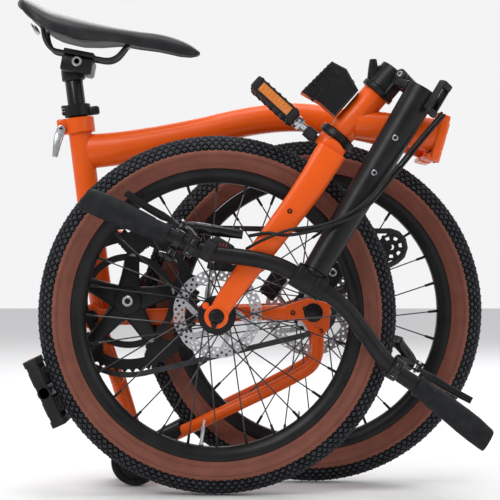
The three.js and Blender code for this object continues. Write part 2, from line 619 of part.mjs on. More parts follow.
const base = join(
  bar(onHead(HEAD_LENGTH + 1), onHead(HEAD_LENGTH + 9), 25, 25, 18),
  bar(onHead(HEAD_LENGTH + 8), onHead(STEM.foot - RUN), 22, 22, 18),
  earBlock(STEM.foot - 10, 24, [18, 24, 18]),
  bar(hingeAlong(-12), hingeAlong(12), 8, 8, 12),
);
add("handlepost_base", "black", join(cut(base, bar(onHead(80), onHead(HEAD_LENGTH + 40.6), 14.6, 14.6, 14),
  earBlock(STEM.foot + 9, 20, [60, 60, 18]).subtract(bar(hingeAlong(-12), hingeAlong(12), 8.1, 8.1, 12))),
  bar(hingeAlong(-24), hingeAlong(24), 3)));

const latchAt = corner(STEM.foot + 14, -27);
const latchPin = (half, radius) => {
  const along = stemHinge.clone().multiplyScalar(half);
  return bar(latchAt.clone().sub(along), latchAt.clone().add(along), radius, radius, 8);
};
const post = join(
  bar(onHead(STEM.foot + RUN), onHead(STEM.foot + 16), 24, 22, 18),
  bar(onHead(STEM.foot + 14), onHead(STEM.bar - 19), STEM.radius, STEM.top, 14),
  ...[-1, 1].map((s) => bar(hingeAlong(s * 12.6), hingeAlong(s * 23), 8, 8, 12)),
  ...[-1, 1].map((s) => {
    const at = corner(STEM.foot + 7.4, 22).addScaledVector(stemHinge, s * 17.8);
    return block(at, [22, 10.4, 13.6], headDir, hingeSide);
  }),
  earBlock(STEM.foot + 14, -24, [16, 10, 12]),
);
add("handlepost", "black", cut(post, bar(hingeAlong(-12.6), hingeAlong(12.6), 8.7, 8.7, 12),
  bar(hingeAlong(-30), hingeAlong(30), 3.6, 3.6, 10),
  latchPin(12, 3.2),
), cockpit);
const latchCheeks = [-1, 1].map((s) =>
  block(corner(STEM.foot + 4, -31).addScaledVector(stemHinge, s * 7.6), [11, 4, 46], headDir, hingeSide));
add("handlepost_latch", "dark", join(...latchCheeks,
  latchPin(8, 2.5),
  earBlock(STEM.foot - 16, -33, [10, 19, 10]), earBlock(STEM.foot + 26.5, -35, [8, 19, 10])), cockpit);
jointAt("handlepost_latch_turn", latchAt, stemHinge, cockpit);

const onBar = (left, up = 0, ahead = 0) => onHead(STEM.bar + up, ahead, left);
const rise = (left) => {
  const d = Math.abs(left);
  return d < 204 ? 46 * THREE.MathUtils.smootherstep(d, 10, 204) : 46 + ((d - 204) * 16) / 123;
};
const BAR = { radius: 11.5 };
const barStops = [-320, -262, -204, -142, -74, -30, 30, 74, 142, 204, 262, 320];
const barTube = (radius) =>
  sweep(barStops.map((l) => onBar(l, rise(l))), radius, { steps: 20, seg: 8, side: headFront.toArray() });
const barRoom = barTube(BAR.radius + RUN);
add("handlebar", "black", barTube(BAR.radius), cockpit);
add("bar_clamp", "black", cut(
  join(
    bar(onBar(-24), onBar(24), 18, 18, 16),
    bar(onHead(STEM.bar - 18.4), onBar(0), 16, 16, 14),
    block(onBar(0, 0, 14), [16, 40, 30], headDir, headFront),
  ),
  barRoom,
), cockpit);
const onGrip = (s, along, up = 0, ahead = 0) => onBar(s * along, rise(along) + up, ahead);
for (const [side, s] of [["right", -1], ["left", 1]]) {
  const grip = sweep(
    [onGrip(s, 202), onGrip(s, 212), onGrip(s, 262, -1), onGrip(s, 300, -1), onGrip(s, 327)],
    [[15.5, 15.5], [14.5, 14.5], [16, 15], [18, 15.5], [16, 14]],
    { steps: 8, seg: 10, side: headFront.toArray() },
  );
  add("grip_" + side, "rubber", cut(grip, barRoom), cockpit);
  const perch = join(
    bar(onGrip(s, 158), onGrip(s, 172), 17, 17, 14),
    sweep([onGrip(s, 162, -12, 14), onGrip(s, 176, -20, 26), onGrip(s, 194, -24, 31)],
      [[9, 9], [10, 9], [8, 7]], { steps: 3, seg: 8 }),
    sweep([onGrip(s, 186, -25, 28), onGrip(s, 160, -35, 26), onGrip(s, s < 0 ? 112 : 148, -36, 22)],
      [[7, 7], [7.5, 8], [7, 7]], { steps: 3, seg: 8 }),
  );
  add("brake_perch_" + side, "black", cut(perch, barRoom,
    block(onGrip(s, 197, -24, 33), [24, 22, 8.4], headDir, headFront)), cockpit);
  const leverPivot = onGrip(s, 194, -24, 33);
  const blade = sweep(
    [
      leverPivot, onGrip(s, 206, -24, 36), onGrip(s, 222, -25, 38),
      onGrip(s, 250, -28, 37), onGrip(s, 284, -34, 34),
    ],
    [[3, 3.4], [3, 3.4], [3.5, 6], [3.5, 5.5], [4, 5]],
    { steps: 7, seg: 8, side: headDir.toArray() },
  );
  add("brake_lever_" + side, "dark", blade, cockpit);
  jointAt("brake_lever_pull_" + side, leverPivot, headDir, cockpit);
}
const shifter = join(bar(onGrip(-1, 134), onGrip(-1, 150), 16, 16, 12),
  block(onGrip(-1, 128, -12, 12), [34, 34, 20], headDir, headFront));
add("shifter", "black", cut(shifter, barRoom), cockpit);
const shiftAt = onGrip(-1, 128, -0.8, 21);
add("shifter_lever", "dark", join(bar(shiftAt, shiftAt.clone().addScaledVector(headDir, 6), 6),
  block(onGrip(-1, 132, 2.4, 36), [34, 12, 5], headDir, headFront)), cockpit);
jointAt("shifter_click", shiftAt, headDir, cockpit);
add("bell", "black", join(bar(onGrip(-1, 180), onGrip(-1, 190), 15.4, 15.4, 12),
  bar(onGrip(-1, 185, 13, 0), onGrip(-1, 185, 24, 0), 6, 16, 14),
  bar(onGrip(-1, 185, 24, 0), onGrip(-1, 185, 31, 0), 16, 9, 14))
  .subtract(barRoom), cockpit);
// ---------- chain and tensioner ----------
const PULLEY = { at: [206, CHAINRING.y, 353.6], radius: 21 };
const SLIDE = { at: [122, CHAINRING.y, 316] }; // tensioner arm's pivot
add("tensioner_body", "dark", cut(
  join(
    sweep([[REAR_AXLE[0] + 6, -54.6, REAR_AXLE[2] + 4], [106, -54.6, 290], SLIDE.at.with(1, -54.6)],
      [[15, 4], [14, 4], [17, 4]], { steps: 4, seg: 8 }),
    disc(SLIDE.at.with(1, -52), 17, 10, 14),
  ),
  disc(REAR_AXLE, 6.6, 160), disc(SLIDE.at, 3.6, 30, 8)));
add("tensioner_arm", "dark", cut(join(
  sweep([SLIDE.at.with(1, -38), [160, -38, 338], PULLEY.at.with(1, -38)],
    [[12, 2], [9, 2], [10, 2]], { steps: 4, seg: 8 }),
  disc(SLIDE.at.with(1, -42), 12, 9, 12),
  disc(SLIDE.at.with(1, -49), 3, 14, 8),
), disc(PULLEY.at, 3.6, 30, 8)));
jointAt("tensioner_swing", SLIDE.at, [0, 1, 0]);
add("tensioner_pulley", "black",
  join(washer(PULLEY.at, PULLEY.radius, 2, 3, 20), disc(PULLEY.at.with(1, -42.6), 3, 14, 8)));
jointAt("pulley_spin", PULLEY.at, [0, 1, 0]);

// The chain runs round the chainring, back over the tensioner's pulley and under the rear sprocket.
const ringPoint = (centre, radius, degrees) => [
  centre[0] + radius * Math.cos(rad(degrees)), CHAINRING.y, centre[2] + radius * Math.sin(rad(degrees))];
const arcPoints = (centre, radius, from, to, count) =>
  Array.from({ length: count + 1 }, (_, i) => ringPoint(centre, radius, from + ((to - from) * i) / count));
const CHAIN = { half: 3.6, lift: 5.2 };
const chainRoute = [
  ...arcPoints(BB, CHAINRING.radius + CHAIN.lift, 92, 282, 14),
  ...arcPoints(REAR_AXLE, 29 + CHAIN.lift, 265, 400, 5),
  ...arcPoints(PULLEY.at, PULLEY.radius + CHAIN.lift, 300, 460, 6),
];
function chainSolid() {
  const band = (offset) => chainRoute.map((p, i) => {
    const n = chainRoute.length;
    const a = V(chainRoute[(i + n - 1) % n]);
    const b = V(chainRoute[(i + 1) % n]);
    const t = b.sub(a).normalize();
    return new THREE.Vector2(p[0] + t.z * offset, p[2] - t.x * offset);
  });
  const shape = new THREE.Shape(band(CHAIN.half));
  shape.holes.push(new THREE.Path(band(-CHAIN.half)));
  const g = new THREE.ExtrudeGeometry(shape, { depth: 7, bevelEnabled: false });
  g.rotateX(Math.PI / 2);
  g.translate(0, CHAINRING.y + 3.5, 0);
  return toSolid(g);
}
add("chain", "steel", chainSolid());

// ---------- frame clamp and hoses ----------
const CLAMP_LEFT = 102; // the clamp's pivot, to the left of the hinge pin
add("frame_clamp_lever", "black", join(bar(onPin(-16, -2, CLAMP_LEFT), onPin(16, -2, CLAMP_LEFT), 5, 5, 8),
  hingeBlock(0, -26, CLAMP_LEFT + 1, [50, 6, 22])));
jointAt("frame_clamp_turn", onPin(0, -2, CLAMP_LEFT), pinDir);
const hoseRoute = [
  onGrip(-1, 103, -35, 19), onGrip(-1, 84, -42, 6), onGrip(-1, 60, -44, -6), onBar(-24, -70, -20),
  onHead(STEM.bar - 120, -24, 12), onHead(STEM.foot + 120, -14, 27), onHead(STEM.foot + 60, -4, 36),
  onHead(STEM.foot + 14, 4, 44),
];
add("brake_hose", "rubber", sweep(hoseRoute, 2.6, { steps: 22, seg: 8 }), cockpit);
jointAt("main_fold", FOLD_PIN.at, pinDir);
jointAt("steer_turn", HEAD_LOWER, headDir);
jointAt("front_wheel_spin", FRONT_AXLE, [0, 1, 0]);
jointAt("rear_wheel_spin", REAR_AXLE, [0, 1, 0]);
jointAt("rear_fold", PIVOT, [0, 1, 0]);
jointAt("crank_turn", BB, [0, 1, 0]);
jointAt("right_pedal_spin", crankPoint(CRANK.length, -80), [0, 1, 0]);
jointAt("stowed_pedal_spin", stowedRoot, [-0.74, 0, 0.67]);
jointAt("seatpost_slide", onSeat(POST.top), seatDir);
jointAt("seat_clamp_lever_turn", leverAt, [0, 1, 0]);
bike.position.set(-1.5, 82.4, 0); // puts the origin at the middle of the base
export default bike;
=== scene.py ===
"""The folded bicycle's looks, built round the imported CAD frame. Design sizes are in millimetres."""

from math import atan2, copysign, cos, exp, pi, radians, sin, sqrt, tan

import bmesh
import bpy
from mathutils import Matrix, Vector


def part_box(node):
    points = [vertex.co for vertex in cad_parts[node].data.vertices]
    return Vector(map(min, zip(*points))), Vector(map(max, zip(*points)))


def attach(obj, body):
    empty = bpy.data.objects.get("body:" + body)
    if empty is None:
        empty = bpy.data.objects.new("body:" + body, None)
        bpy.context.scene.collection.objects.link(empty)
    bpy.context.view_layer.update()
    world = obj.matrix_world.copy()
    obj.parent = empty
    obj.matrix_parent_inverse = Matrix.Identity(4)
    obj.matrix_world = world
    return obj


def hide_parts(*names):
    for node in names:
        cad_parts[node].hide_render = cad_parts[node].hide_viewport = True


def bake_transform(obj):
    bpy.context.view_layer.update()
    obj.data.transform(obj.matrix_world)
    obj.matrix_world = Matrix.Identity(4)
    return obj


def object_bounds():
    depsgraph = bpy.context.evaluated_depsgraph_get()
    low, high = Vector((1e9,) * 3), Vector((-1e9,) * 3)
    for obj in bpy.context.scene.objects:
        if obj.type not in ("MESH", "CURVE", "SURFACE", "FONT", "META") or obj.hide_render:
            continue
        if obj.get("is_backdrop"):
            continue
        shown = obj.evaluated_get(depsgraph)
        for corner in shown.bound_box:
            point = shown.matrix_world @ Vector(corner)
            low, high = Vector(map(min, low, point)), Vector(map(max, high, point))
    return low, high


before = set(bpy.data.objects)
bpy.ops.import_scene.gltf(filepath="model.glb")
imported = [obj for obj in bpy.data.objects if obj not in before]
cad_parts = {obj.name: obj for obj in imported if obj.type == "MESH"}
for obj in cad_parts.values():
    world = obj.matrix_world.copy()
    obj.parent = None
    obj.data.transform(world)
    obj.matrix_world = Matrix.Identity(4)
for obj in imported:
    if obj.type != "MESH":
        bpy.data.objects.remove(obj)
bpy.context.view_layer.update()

# ---------- places, from the CAD frame ----------
FRONT_Y = -140  # the folded front half's plane
REAR_AXLE = Vector((93, 0, 257))
FRONT_AXLE = Vector((-47, FRONT_Y, 257))
low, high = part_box("rear_tyre")
OFFSET = (low + high) / 2 - REAR_AXLE / 1000  # design frame to row frame, metres
BB = Vector((-180, 0, 274))
PIVOT = Vector((-236, 0, 249))
HEAD_LOWER = Vector((123, FRONT_Y, 508))
HEAD_ANGLE = radians(49)
HEAD_DIR = Vector((cos(HEAD_ANGLE), 0, sin(HEAD_ANGLE)))
HEAD_FRONT = Vector((HEAD_DIR.z, 0, -HEAD_DIR.x))
HEAD_LENGTH = 86
Y = Vector((0, 1, 0))
Z = Vector((0, 0, 1))
X = Vector((1, 0, 0))


def on_head(up, ahead=0.0, left=0.0):
    return HEAD_LOWER + HEAD_DIR * up + HEAD_FRONT * ahead + Y * left


# ---------- camera, floor and light ----------
CAMERA_EYE = Vector((0, -2733, 364))
CAMERA_TILT = 0.316  # degrees below level
LENS, SENSOR = 130.5, 36
LIT_POINT = Vector((0, 0, 0.35))


def camera_and_light():
    cam = bpy.data.objects.new("camera", bpy.data.cameras.new("camera"))
    cam.location = CAMERA_EYE / 1000 + OFFSET
    cam.rotation_euler = (radians(90 - CAMERA_TILT), 0, 0)
    cam.data.lens = LENS
    cam.data.sensor_width = SENSOR
    cam.data.clip_end = 50
    bpy.context.scene.collection.objects.link(cam)
    bpy.context.scene.camera = cam
    for name, place, size, power in (
        ("key", (-1.5, -2.2, 2.4), 1.5, 44),
        ("fill", (2.4, -1.8, 1.2), 1.6, 12),
        ("back", (0.4, 2.4, 2.2), 1.8, 34),
        ("top", (0.0, -0.2, 2.8), 1.4, 26),
    ):
        light = bpy.data.lights.new(name, "AREA")
        light.shape = "SQUARE"
        light.size = size
        light.energy = power
        lamp = bpy.data.objects.new(name, light)
        lamp.location = place
        lamp.rotation_euler = (LIT_POINT - Vector(place)).to_track_quat("-Z", "Y").to_euler()
        bpy.context.scene.collection.objects.link(lamp)
    world = bpy.data.worlds.new("studio")
    world.use_nodes = True
    sky = world.node_tree.nodes
    links = world.node_tree.links
    where = sky.new("ShaderNodeTexCoord")
    parts = sky.new("ShaderNodeSeparateXYZ")
    level = sky.new("ShaderNodeMapRange")  # dimmer in front of the bicycle, bright behind it
    for socket, value in (("From Min", -0.6), ("From Max", 0.9), ("To Min", 0.42), ("To Max", 0.95)):
        level.inputs[socket].default_value = value
    links.new(where.outputs["Generated"], parts.inputs["Vector"])
    links.new(parts.outputs["Y"], level.inputs["Value"])
    sky["Background"].inputs["Color"].default_value = (0.95, 0.95, 0.96, 1)
    links.new(level.outputs["Result"], sky["Background"].inputs["Strength"])
    bpy.context.scene.world = world
    bpy.context.scene.view_settings.view_transform = "Standard"
    bpy.ops.mesh.primitive_plane_add(size=14, location=(0, 0, -0.0006))
    floor = bpy.context.object
    floor.name = "floor"
    floor.data.materials.append(material("floor_paper", (0.86, 0.86, 0.87), 0.85, bump=(60, 0.02)))
    floor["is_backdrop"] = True


# ---------- materials ----------
ROUGH_SPREAD = 0.06  # how far the noise moves a roughness either way


def material(name, colour, rough, metal=0.0, bump=None, vary=0.0, vary_scale=40.0, coat=0.0,
             tint=None, stretch=(1, 1, 1), gleam=0.5):
    """A Principled material whose colour, roughness and bump come from noise in the object's own space."""
    mat = bpy.data.materials.new(name)
    mat.use_nodes = True
    nodes = mat.node_tree.nodes
    links = mat.node_tree.links
    shader = nodes["Principled BSDF"]
    for socket, value in (("Metallic", metal), ("Specular IOR Level", gleam), ("Coat Weight", coat),
                          ("Coat Roughness", 0.08)):
        shader.inputs[socket].default_value = value
    where = nodes.new("ShaderNodeTexCoord")
    spread = nodes.new("ShaderNodeMapping")
    spread.inputs["Scale"].default_value = stretch
    links.new(where.outputs["Object"], spread.inputs["Vector"])

    def noise(scale, detail=4.0):
        node = nodes.new("ShaderNodeTexNoise")
        node.inputs["Scale"].default_value = scale
        node.inputs["Detail"].default_value = detail
        links.new(spread.outputs["Vector"], node.inputs["Vector"])
        return node.outputs["Fac"]

    ramp = nodes.new("ShaderNodeValToRGB")
    second = tint or tuple(min(1.0, c * (1 + vary) + 0.02 * vary) for c in colour)
    ramp.color_ramp.elements[0].color = (*(c * (1 - vary) for c in colour), 1)
    ramp.color_ramp.elements[1].color = (*second, 1)
    ramp.color_ramp.elements[0].position = 0.32
    ramp.color_ramp.elements[1].position = 0.72
    links.new(noise(vary_scale), ramp.inputs["Fac"])
    links.new(ramp.outputs["Color"], shader.inputs["Base Color"])
    level = nodes.new("ShaderNodeMapRange")
    level.inputs["To Min"].default_value = max(0.02, rough - ROUGH_SPREAD)
    level.inputs["To Max"].default_value = min(1.0, rough + ROUGH_SPREAD)
    links.new(noise(vary_scale * 2.3, 6), level.inputs["Value"])
    links.new(level.outputs["Result"], shader.inputs["Roughness"])
    if bump:
        scale, strength = bump
        relief = nodes.new("ShaderNodeBump")
        relief.inputs["Strength"].default_value = strength
        relief.inputs["Distance"].default_value = 0.001
        links.new(noise(scale, 3), relief.inputs["Height"])
        links.new(relief.outputs["Normal"], shader.inputs["Normal"])
    return mat


camera_and_light()
ORANGE = material("orange_paint", (0.80, 0.100, 0.003), 0.34, 0.0, (900, 0.04), 0.04, 9, coat=0.12,
                  gleam=0.25)
BLACK = material("black_anodised", (0.0055, 0.0057, 0.0068), 0.36, 0.0, (1400, 0.10), 0.25, 30, gleam=0.24)
GLOSS = material("gloss_black", (0.005, 0.005, 0.006), 0.20, 0.0, (700, 0.05), 0.2, 20, coat=0.15, gleam=0.3)
PLASTIC = material("moulded_plastic", (0.007, 0.007, 0.0085), 0.50, 0.0, (1600, 0.22), 0.3, 60, gleam=0.25)
STEEL = material("brushed_steel", (0.52, 0.53, 0.55), 0.28, 1.0, (500, 0.10), 0.10, 120, stretch=(1, 6, 1))
DARK = material("dark_steel", (0.050, 0.050, 0.053), 0.34, 0.85, (600, 0.10), 0.2, 90)
TREAD = material("tread_rubber", (0.022, 0.024, 0.030), 0.66, 0.0, (900, 0.30), 0.25, 70,
                 tint=(0.040, 0.043, 0.052), gleam=0.35)
# painted shade: the tread's grooves get a near-black copy of the tread rubber, standing in for the shade
# inside them
GROOVE_PAINTED_SHADE = material("tread_groove_painted_shade", (0.0018, 0.0018, 0.0022), 0.9, 0.0, (900, 0.30), 0.3, 70, gleam=0.1)
WALL = material("brown_sidewall", (0.195, 0.064, 0.042), 0.66, 0.0, (1100, 0.25), 0.12, 45, gleam=0.3)
GRIP_MAT = material("grip_rubber", (0.0085, 0.0095, 0.0115), 0.66, 0.0, (1300, 0.45), 0.25, 80, gleam=0.2)
SADDLE_MAT = material("saddle_vinyl", (0.0075, 0.0078, 0.0095), 0.40, 0.0, (520, 0.30), 0.25, 35, gleam=0.32)
RUBBER = material("soft_rubber", (0.008, 0.008, 0.009), 0.60, 0.0, (800, 0.25), 0.2, 60, gleam=0.3)
AMBER = material("amber_reflector", (0.62, 0.17, 0.012), 0.12, 0.0, (60, 0.02), 0.10, 300, coat=0.6)
RED = material("red_mark", (0.55, 0.01, 0.01), 0.30, 0.0, (300, 0.05), 0.05, 60)


# ---------- mesh helpers ----------
def basis(at, along, side=X):
    z = Vector(along).normalized()
    x = Vector(side) - z * Vector(side).dot(z)
    if x.length < 1e-3:
        x = z.orthogonal()
    x.normalize()
    y = z.cross(x)
    rows = Matrix((x, y, z)).transposed().to_4x4()
    rows.translation = Vector(at)
    return rows


class Shape:
    """Collects closed shells, in millimetres, each with a material index."""

    def __init__(self):
        self.bm = bmesh.new()
        self.index = 0

    def loft(self, rings, closed=False, cap=True):
        made = [[self.bm.verts.new(p) for p in ring] for ring in rings]
        n = len(made[0])
        pairs = list(zip(made, made[1:])) + ([(made[-1], made[0])] if closed else [])
        faces = []
        for a, b in pairs:
            for i in range(n):
                j = (i + 1) % n
                faces.append(self.bm.faces.new((a[i], a[j], b[j], b[i])))
        if cap and not closed:
            faces.append(self.bm.faces.new(list(reversed(made[0]))))
            faces.append(self.bm.faces.new(made[-1]))
        for f in faces:
            f.material_index = self.index
            f.smooth = True
        bmesh.ops.recalc_face_normals(self.bm, faces=faces)
        return faces

    def bar(self, a, b, r0, r1=None, seg=32, soft=0.8):
        """A round bar with rounded edges."""
        r1 = r0 if r1 is None else r1
        a, b = Vector(a), Vector(b)
        length = (b - a).length
        e = min(soft, length * 0.3, r0 * 0.5, r1 * 0.5)
        spots = [(0, r0 - e), (e * 0.3, r0 - e * 0.3), (e, r0)]
        spots += [(length - e, r1), (length - e * 0.3, r1 - e * 0.3), (length, r1 - e)]
        m = basis(a, b - a, Y)
        return self.loft([circle(m, r, r, seg, d) for d, r in spots])

    def disc(self, at, radius, width, seg=40, soft=0.8):
        half = Y * (width / 2)
        return self.bar(Vector(at) - half, Vector(at) + half, radius, radius, seg, soft=soft)

    def turned(self, at, profile, seg=96, axis=Y, side=X):
        """A closed profile of (radius, distance along the axis) turned about it."""
        m = basis(at, axis, side)
        rings = [[m @ Vector((r * cos(t), r * sin(t), d)) for r, d in profile] for t in turns(seg)]
        return self.loft(rings, closed=True)

    def sweep(self, points, radii, steps=40, seg=28, side=Y, power=2.0):
        """A tube through points; radii give (across, along side) at each point."""
        path, place = smooth_path(points, steps)
        rings = []
        for k, (at, tangent) in enumerate(path):
            m = basis(at, tangent, side)
            i = min(int(place[k]), len(points) - 2)
            f = place[k] - i
            across, wide = (mix(pick(radii, i, c), pick(radii, i + 1, c), f) for c in (0, 1))
            ring = []
            for t in turns(seg):
                c, s = cos(t), sin(t)
                c = copysign(abs(c) ** (2 / power), c)
                s = copysign(abs(s) ** (2 / power), s)
                ring.append(m @ Vector((wide * c, across * s, 0)))
            rings.append(ring)
        ends = []
        for ring in (rings[0], rings[-1]):
            centre = sum(ring, Vector()) / len(ring)
            ends.append([centre + (p - centre) * 0.93 for p in ring])
        shift = min(0.8, (rings[0][0] - rings[0][seg // 2]).length * 0.1)
        rings[0] = [p + path[0][1].normalized() * shift for p in rings[0]]
        rings[-1] = [p - path[-1][1].normalized() * shift for p in rings[-1]]
        return self.loft([ends[0]] + rings + [ends[1]])

    def plate(self, outline, y0, y1, soft=0.8):
        """A flat plate with bevelled rims: an outline of (x, z), between two values of y."""
        lo, hi = min(y0, y1), max(y0, y1)
        e = min(soft, (hi - lo) * 0.3)
        inner = offset_outline(outline, -e)
        spots = [(inner, lo), (outline, lo + e), (outline, hi - e), (inner, hi)]
        faces = self.loft([[Vector((x, d, z)) for x, z in ring] for ring, d in spots])
        for f in faces:
            f.smooth = False
        return faces

    def block(self, at, size, along=Z, side=X, soft=1.5):
        sx, sy, sz = (v / 2 for v in size)
        e = min(soft, sx * 0.5, sy * 0.5, sz * 0.5)
        m = basis(at, along, side)

        def ring(z, cut):
            pts = []
            for qx, qy in ((1, 1), (-1, 1), (-1, -1), (1, -1)):
                cx, cy = qx * (sx - e), qy * (sy - e)
                start = atan2(qy, qx) - pi / 4
                for k in range(4):
                    t = start + k * pi / 6
                    pts.append(m @ Vector((cx + (e - cut) * cos(t), cy + (e - cut) * sin(t), z)))
            return pts

        near, deep = e * 0.3, e * 0.95
        spots = [(-sz, deep), (-sz + near, near), (-sz + e, 0), (sz - e, 0), (sz - near, near), (sz, deep)]
        return self.loft([ring(z, c) for z, c in spots])

    def bolt(self, at, out, radius=4.5, deep=4.0):
        """A socket-head bolt facing `out`."""
        at, out = Vector(at), Vector(out).normalized()
        m = basis(at, out)
        spots = [(0, radius), (deep - 0.8, radius), (deep, radius - 0.8)]
        spots += [(deep, radius * 0.55), (deep - 2.2, radius * 0.5)]
        return self.loft([circle(m, r, r, 24, d) for d, r in spots])

    def tint(self, index):
        """Chooses the material of what is added next."""
        self.index = index
        return self


def turns(n):
    return [2 * pi * k / n for k in range(n)]


def circle(m, across, wide, seg, d=0.0):
    """A ring of points in the plane of the basis m, moved d along its axis."""
    return [m @ Vector((across * cos(t), wide * sin(t), d)) for t in turns(seg)]


def around(at, reach, t, y=0.0):
    """The point `reach` from a centre at angle t in the XZ plane, moved y along Y."""
    return Vector(at) + Vector((reach * cos(t), y, reach * sin(t)))


def mirrored(half, middle=()):
    """A whole profile from the half of it on the positive side."""
    return [(r, -d) for r, d in reversed(half)] + list(middle) + half


def band(inner, outer, width, cut=1.0, rise=1.0):
    """The profile of a ring with both outer edges cut off."""
    lower = [(inner, 0), (outer - cut, 0), (outer, rise)]
    return lower + [(outer, width - rise), (outer - cut, width), (inner, width)]


def mix(a, b, f):
    return a + (b - a) * f


def pick(radii, i, c):
    r = radii[i] if isinstance(radii, (list, tuple)) else radii
    return r[c] if isinstance(r, (list, tuple)) else r


def smooth_path(points, steps):
    """Points and tangents along a centripetal Catmull-Rom curve, with each point's place in the list."""
    pts = [Vector(p) for p in points]
    ext = [pts[0] * 2 - pts[1]] + pts + [pts[-1] * 2 - pts[-2]]
    out, place = [], []
    for k in range(steps + 1):
        u = k / steps * (len(pts) - 1)
        i = min(int(u), len(pts) - 2)
        f = u - i
        p0, p1, p2, p3 = ext[i:i + 4]
        d = [max(1e-4, (b - a).length ** 0.5) for a, b in ((p0, p1), (p1, p2), (p2, p3))]
        m1 = ((p1 - p0) / d[0] - (p2 - p0) / (d[0] + d[1]) + (p2 - p1) / d[1]) * d[1]
        m2 = ((p2 - p1) / d[1] - (p3 - p1) / (d[1] + d[2]) + (p3 - p2) / d[2]) * d[1]
        a = 2 * p1 - 2 * p2 + m1 + m2
        b = -3 * p1 + 3 * p2 - 2 * m1 - m2
        out.append((p1 + m1 * f + b * f * f + a * f ** 3, m1 + 2 * b * f + 3 * a * f * f))
        place.append(u)
    return out, place


def offset_outline(outline, by):
    """The outline moved inwards by `by` millimetres when it is negative."""
    after = outline[1:] + outline[:1]
    area = sum(p[0] * b[1] - b[0] * p[1] for p, b in zip(outline, after))
    turn = 1 if area > 0 else -1
    out = []
    for i, (p, b) in enumerate(zip(outline, after)):
        p, a, b = Vector(p), Vector(outline[i - 1]), Vector(b)
        e1, e2 = (p - a).normalized(), (b - p).normalized()
        n1, n2 = Vector((e1.y, -e1.x)) * turn, Vector((e2.y, -e2.x)) * turn
        mid = n1 + n2
        out.append(tuple(p + mid * (by / max(0.3, 1 + n1.dot(n2)))))
    return out


def piece(name, body, shape, mats, replaces=(), matrix=None, bend=None):
    """One visual piece on a CAD body; with bend = (other body, start, end) given it is only baked in place
    and left unattached, and the values in bend are not used.
    """
    mesh = bpy.data.meshes.new(name)
    shape.bm.transform(matrix or Matrix.Identity(4))
    shape.bm.to_mesh(mesh)
    shape.bm.free()
    mesh.transform(Matrix.Translation(OFFSET) @ Matrix.Scale(0.001, 4))
    obj = bpy.data.objects.new(name, mesh)
    bpy.context.scene.collection.objects.link(obj)
    for mat in mats:
        mesh.materials.append(mat)
    mesh.set_sharp_from_angle(angle=radians(38))
    if bend:
        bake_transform(obj)
    else:
        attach(obj, body)
    for node in replaces:
        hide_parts(node)
    return obj


def stand_in(node, body, shape, mat, matrix=None):
    """A piece of one material that stands for the CAD node of its name."""
    piece(node + "_fine", body, shape, [mat], [node], matrix)


def cell_plate(shape, at, keep, r0, r1, nr, nt, y0, y1, rim=None):
    """A flat plate about a Y axis, made of the polar cells for which keep(radius, angle) is true."""
    grid = []
    for y in (y0, y1):
        side = []
        for i in range(nr + 1):
            row = []
            for t in turns(nt):
                r = mix(r0, r1, i / nr)
                if rim and i == nr:
                    r = rim(t)
                row.append(shape.bm.verts.new(around(at, r, t, y)))
            side.append(row)
        grid.append(side)
    kept = {(i, j) for i in range(nr) for j in range(nt)
            if keep(mix(r0, r1, (i + 0.5) / nr), 2 * pi * (j + 0.5) / nt)}
    faces = []
    for i, j in kept:
        k = (j + 1) % nt
        for side in (0, 1):
            g = grid[side]
            faces.append(shape.bm.faces.new((g[i][j], g[i + 1][j], g[i + 1][k], g[i][k])))
        for (a, b), near in (
            (((i, j), (i, k)), (i - 1, j)),
            (((i + 1, j), (i + 1, k)), (i + 1, j)),
            (((i, j), (i + 1, j)), (i, (j - 1) % nt)),
            (((i, k), (i + 1, k)), (i, k)),
        ):
            if near not in kept:
                p, q = grid[0], grid[1]
                faces.append(shape.bm.faces.new((p[a[0]][a[1]], p[b[0]][b[1]], q[b[0]][b[1]], q[a[0]][a[1]])))
    loose = [v for side in grid for row in side for v in row if not v.link_faces]
    bmesh.ops.delete(shape.bm, geom=loose, context="VERTS")
    for f in faces:
        f.material_index = shape.index
    bmesh.ops.recalc_face_normals(shape.bm, faces=faces)


# ---------- wheels ----------
TYRE_R, TYRE_HALF, BEAD = 257, 27, 209
RIM_OUT = 208
SPOKES, SPOKE_END = 28, 187


def tyre(name, body, at):
    belly = TYRE_R - TYRE_HALF
    bend = TYRE_HALF - 0.4
    studs, sectors, count = 150, 600, 36
    groove_depth, groove_share = 1.9, 0.26
    tread = 0.93  # the share of the arc, from crown to bead, that carries studs

    def groove(turn, k):
        if abs(k - count / 2) / (count / 2) > tread:
            return False
        phase = (turn * studs / sectors + 0.5 * ((k // 3) % 2)) % 1
        return phase < groove_share or k % 3 == 0

    rings = []
    for turn in range(sectors):
        t = 2 * pi * turn / sectors
        profile = [(BEAD, -13.5)]
        for k in range(count + 1):
            a = pi * k / count
            reach = bend - (groove_depth if groove(turn, k) else 0)
            profile.append((belly + reach * sin(a) - 0.2, -reach * cos(a)))
        profile += [(BEAD, 13.5), (BEAD + 3, 9), (BEAD + 3, -9)]
        rings.append([around(at, q, t, y) for q, y in profile])
    shape = Shape()
    faces = shape.loft(rings, closed=True)
    size = len(rings[0])
    for number, f in enumerate(faces):
        turn, k = divmod(number, size)
        k -= 1
        share = abs(k + 0.5 - count / 2) / (count / 2)
        low = [groove(turn + i, k + j) for i in (0, 1) for j in (0, 1)]
        # faces in the grooves take material 2, the near-black rubber that paints shade into them
        f.material_index = 1 if share > tread - 0.03 else (2 if sum(low) > 2 else 0)
        f.smooth = share > tread
    piece(name + "_tyre_fine", body, shape, [TREAD, WALL, GROOVE_PAINTED_SHADE], [name + "_tyre"])
    seam = Shape()
    for s in (-1, 1):
        for r in (214, 228):
            y = s * (TYRE_HALF - 0.4) * sqrt(max(0, 1 - ((r - belly) / TYRE_HALF) ** 2))
            seam.turned(at, [(r - 0.5, y), (r, y + s * 0.5), (r + 0.5, y), (r, y - s * 0.6)], 120)
    piece(name + "_tyre_lines", body, seam, [WALL])


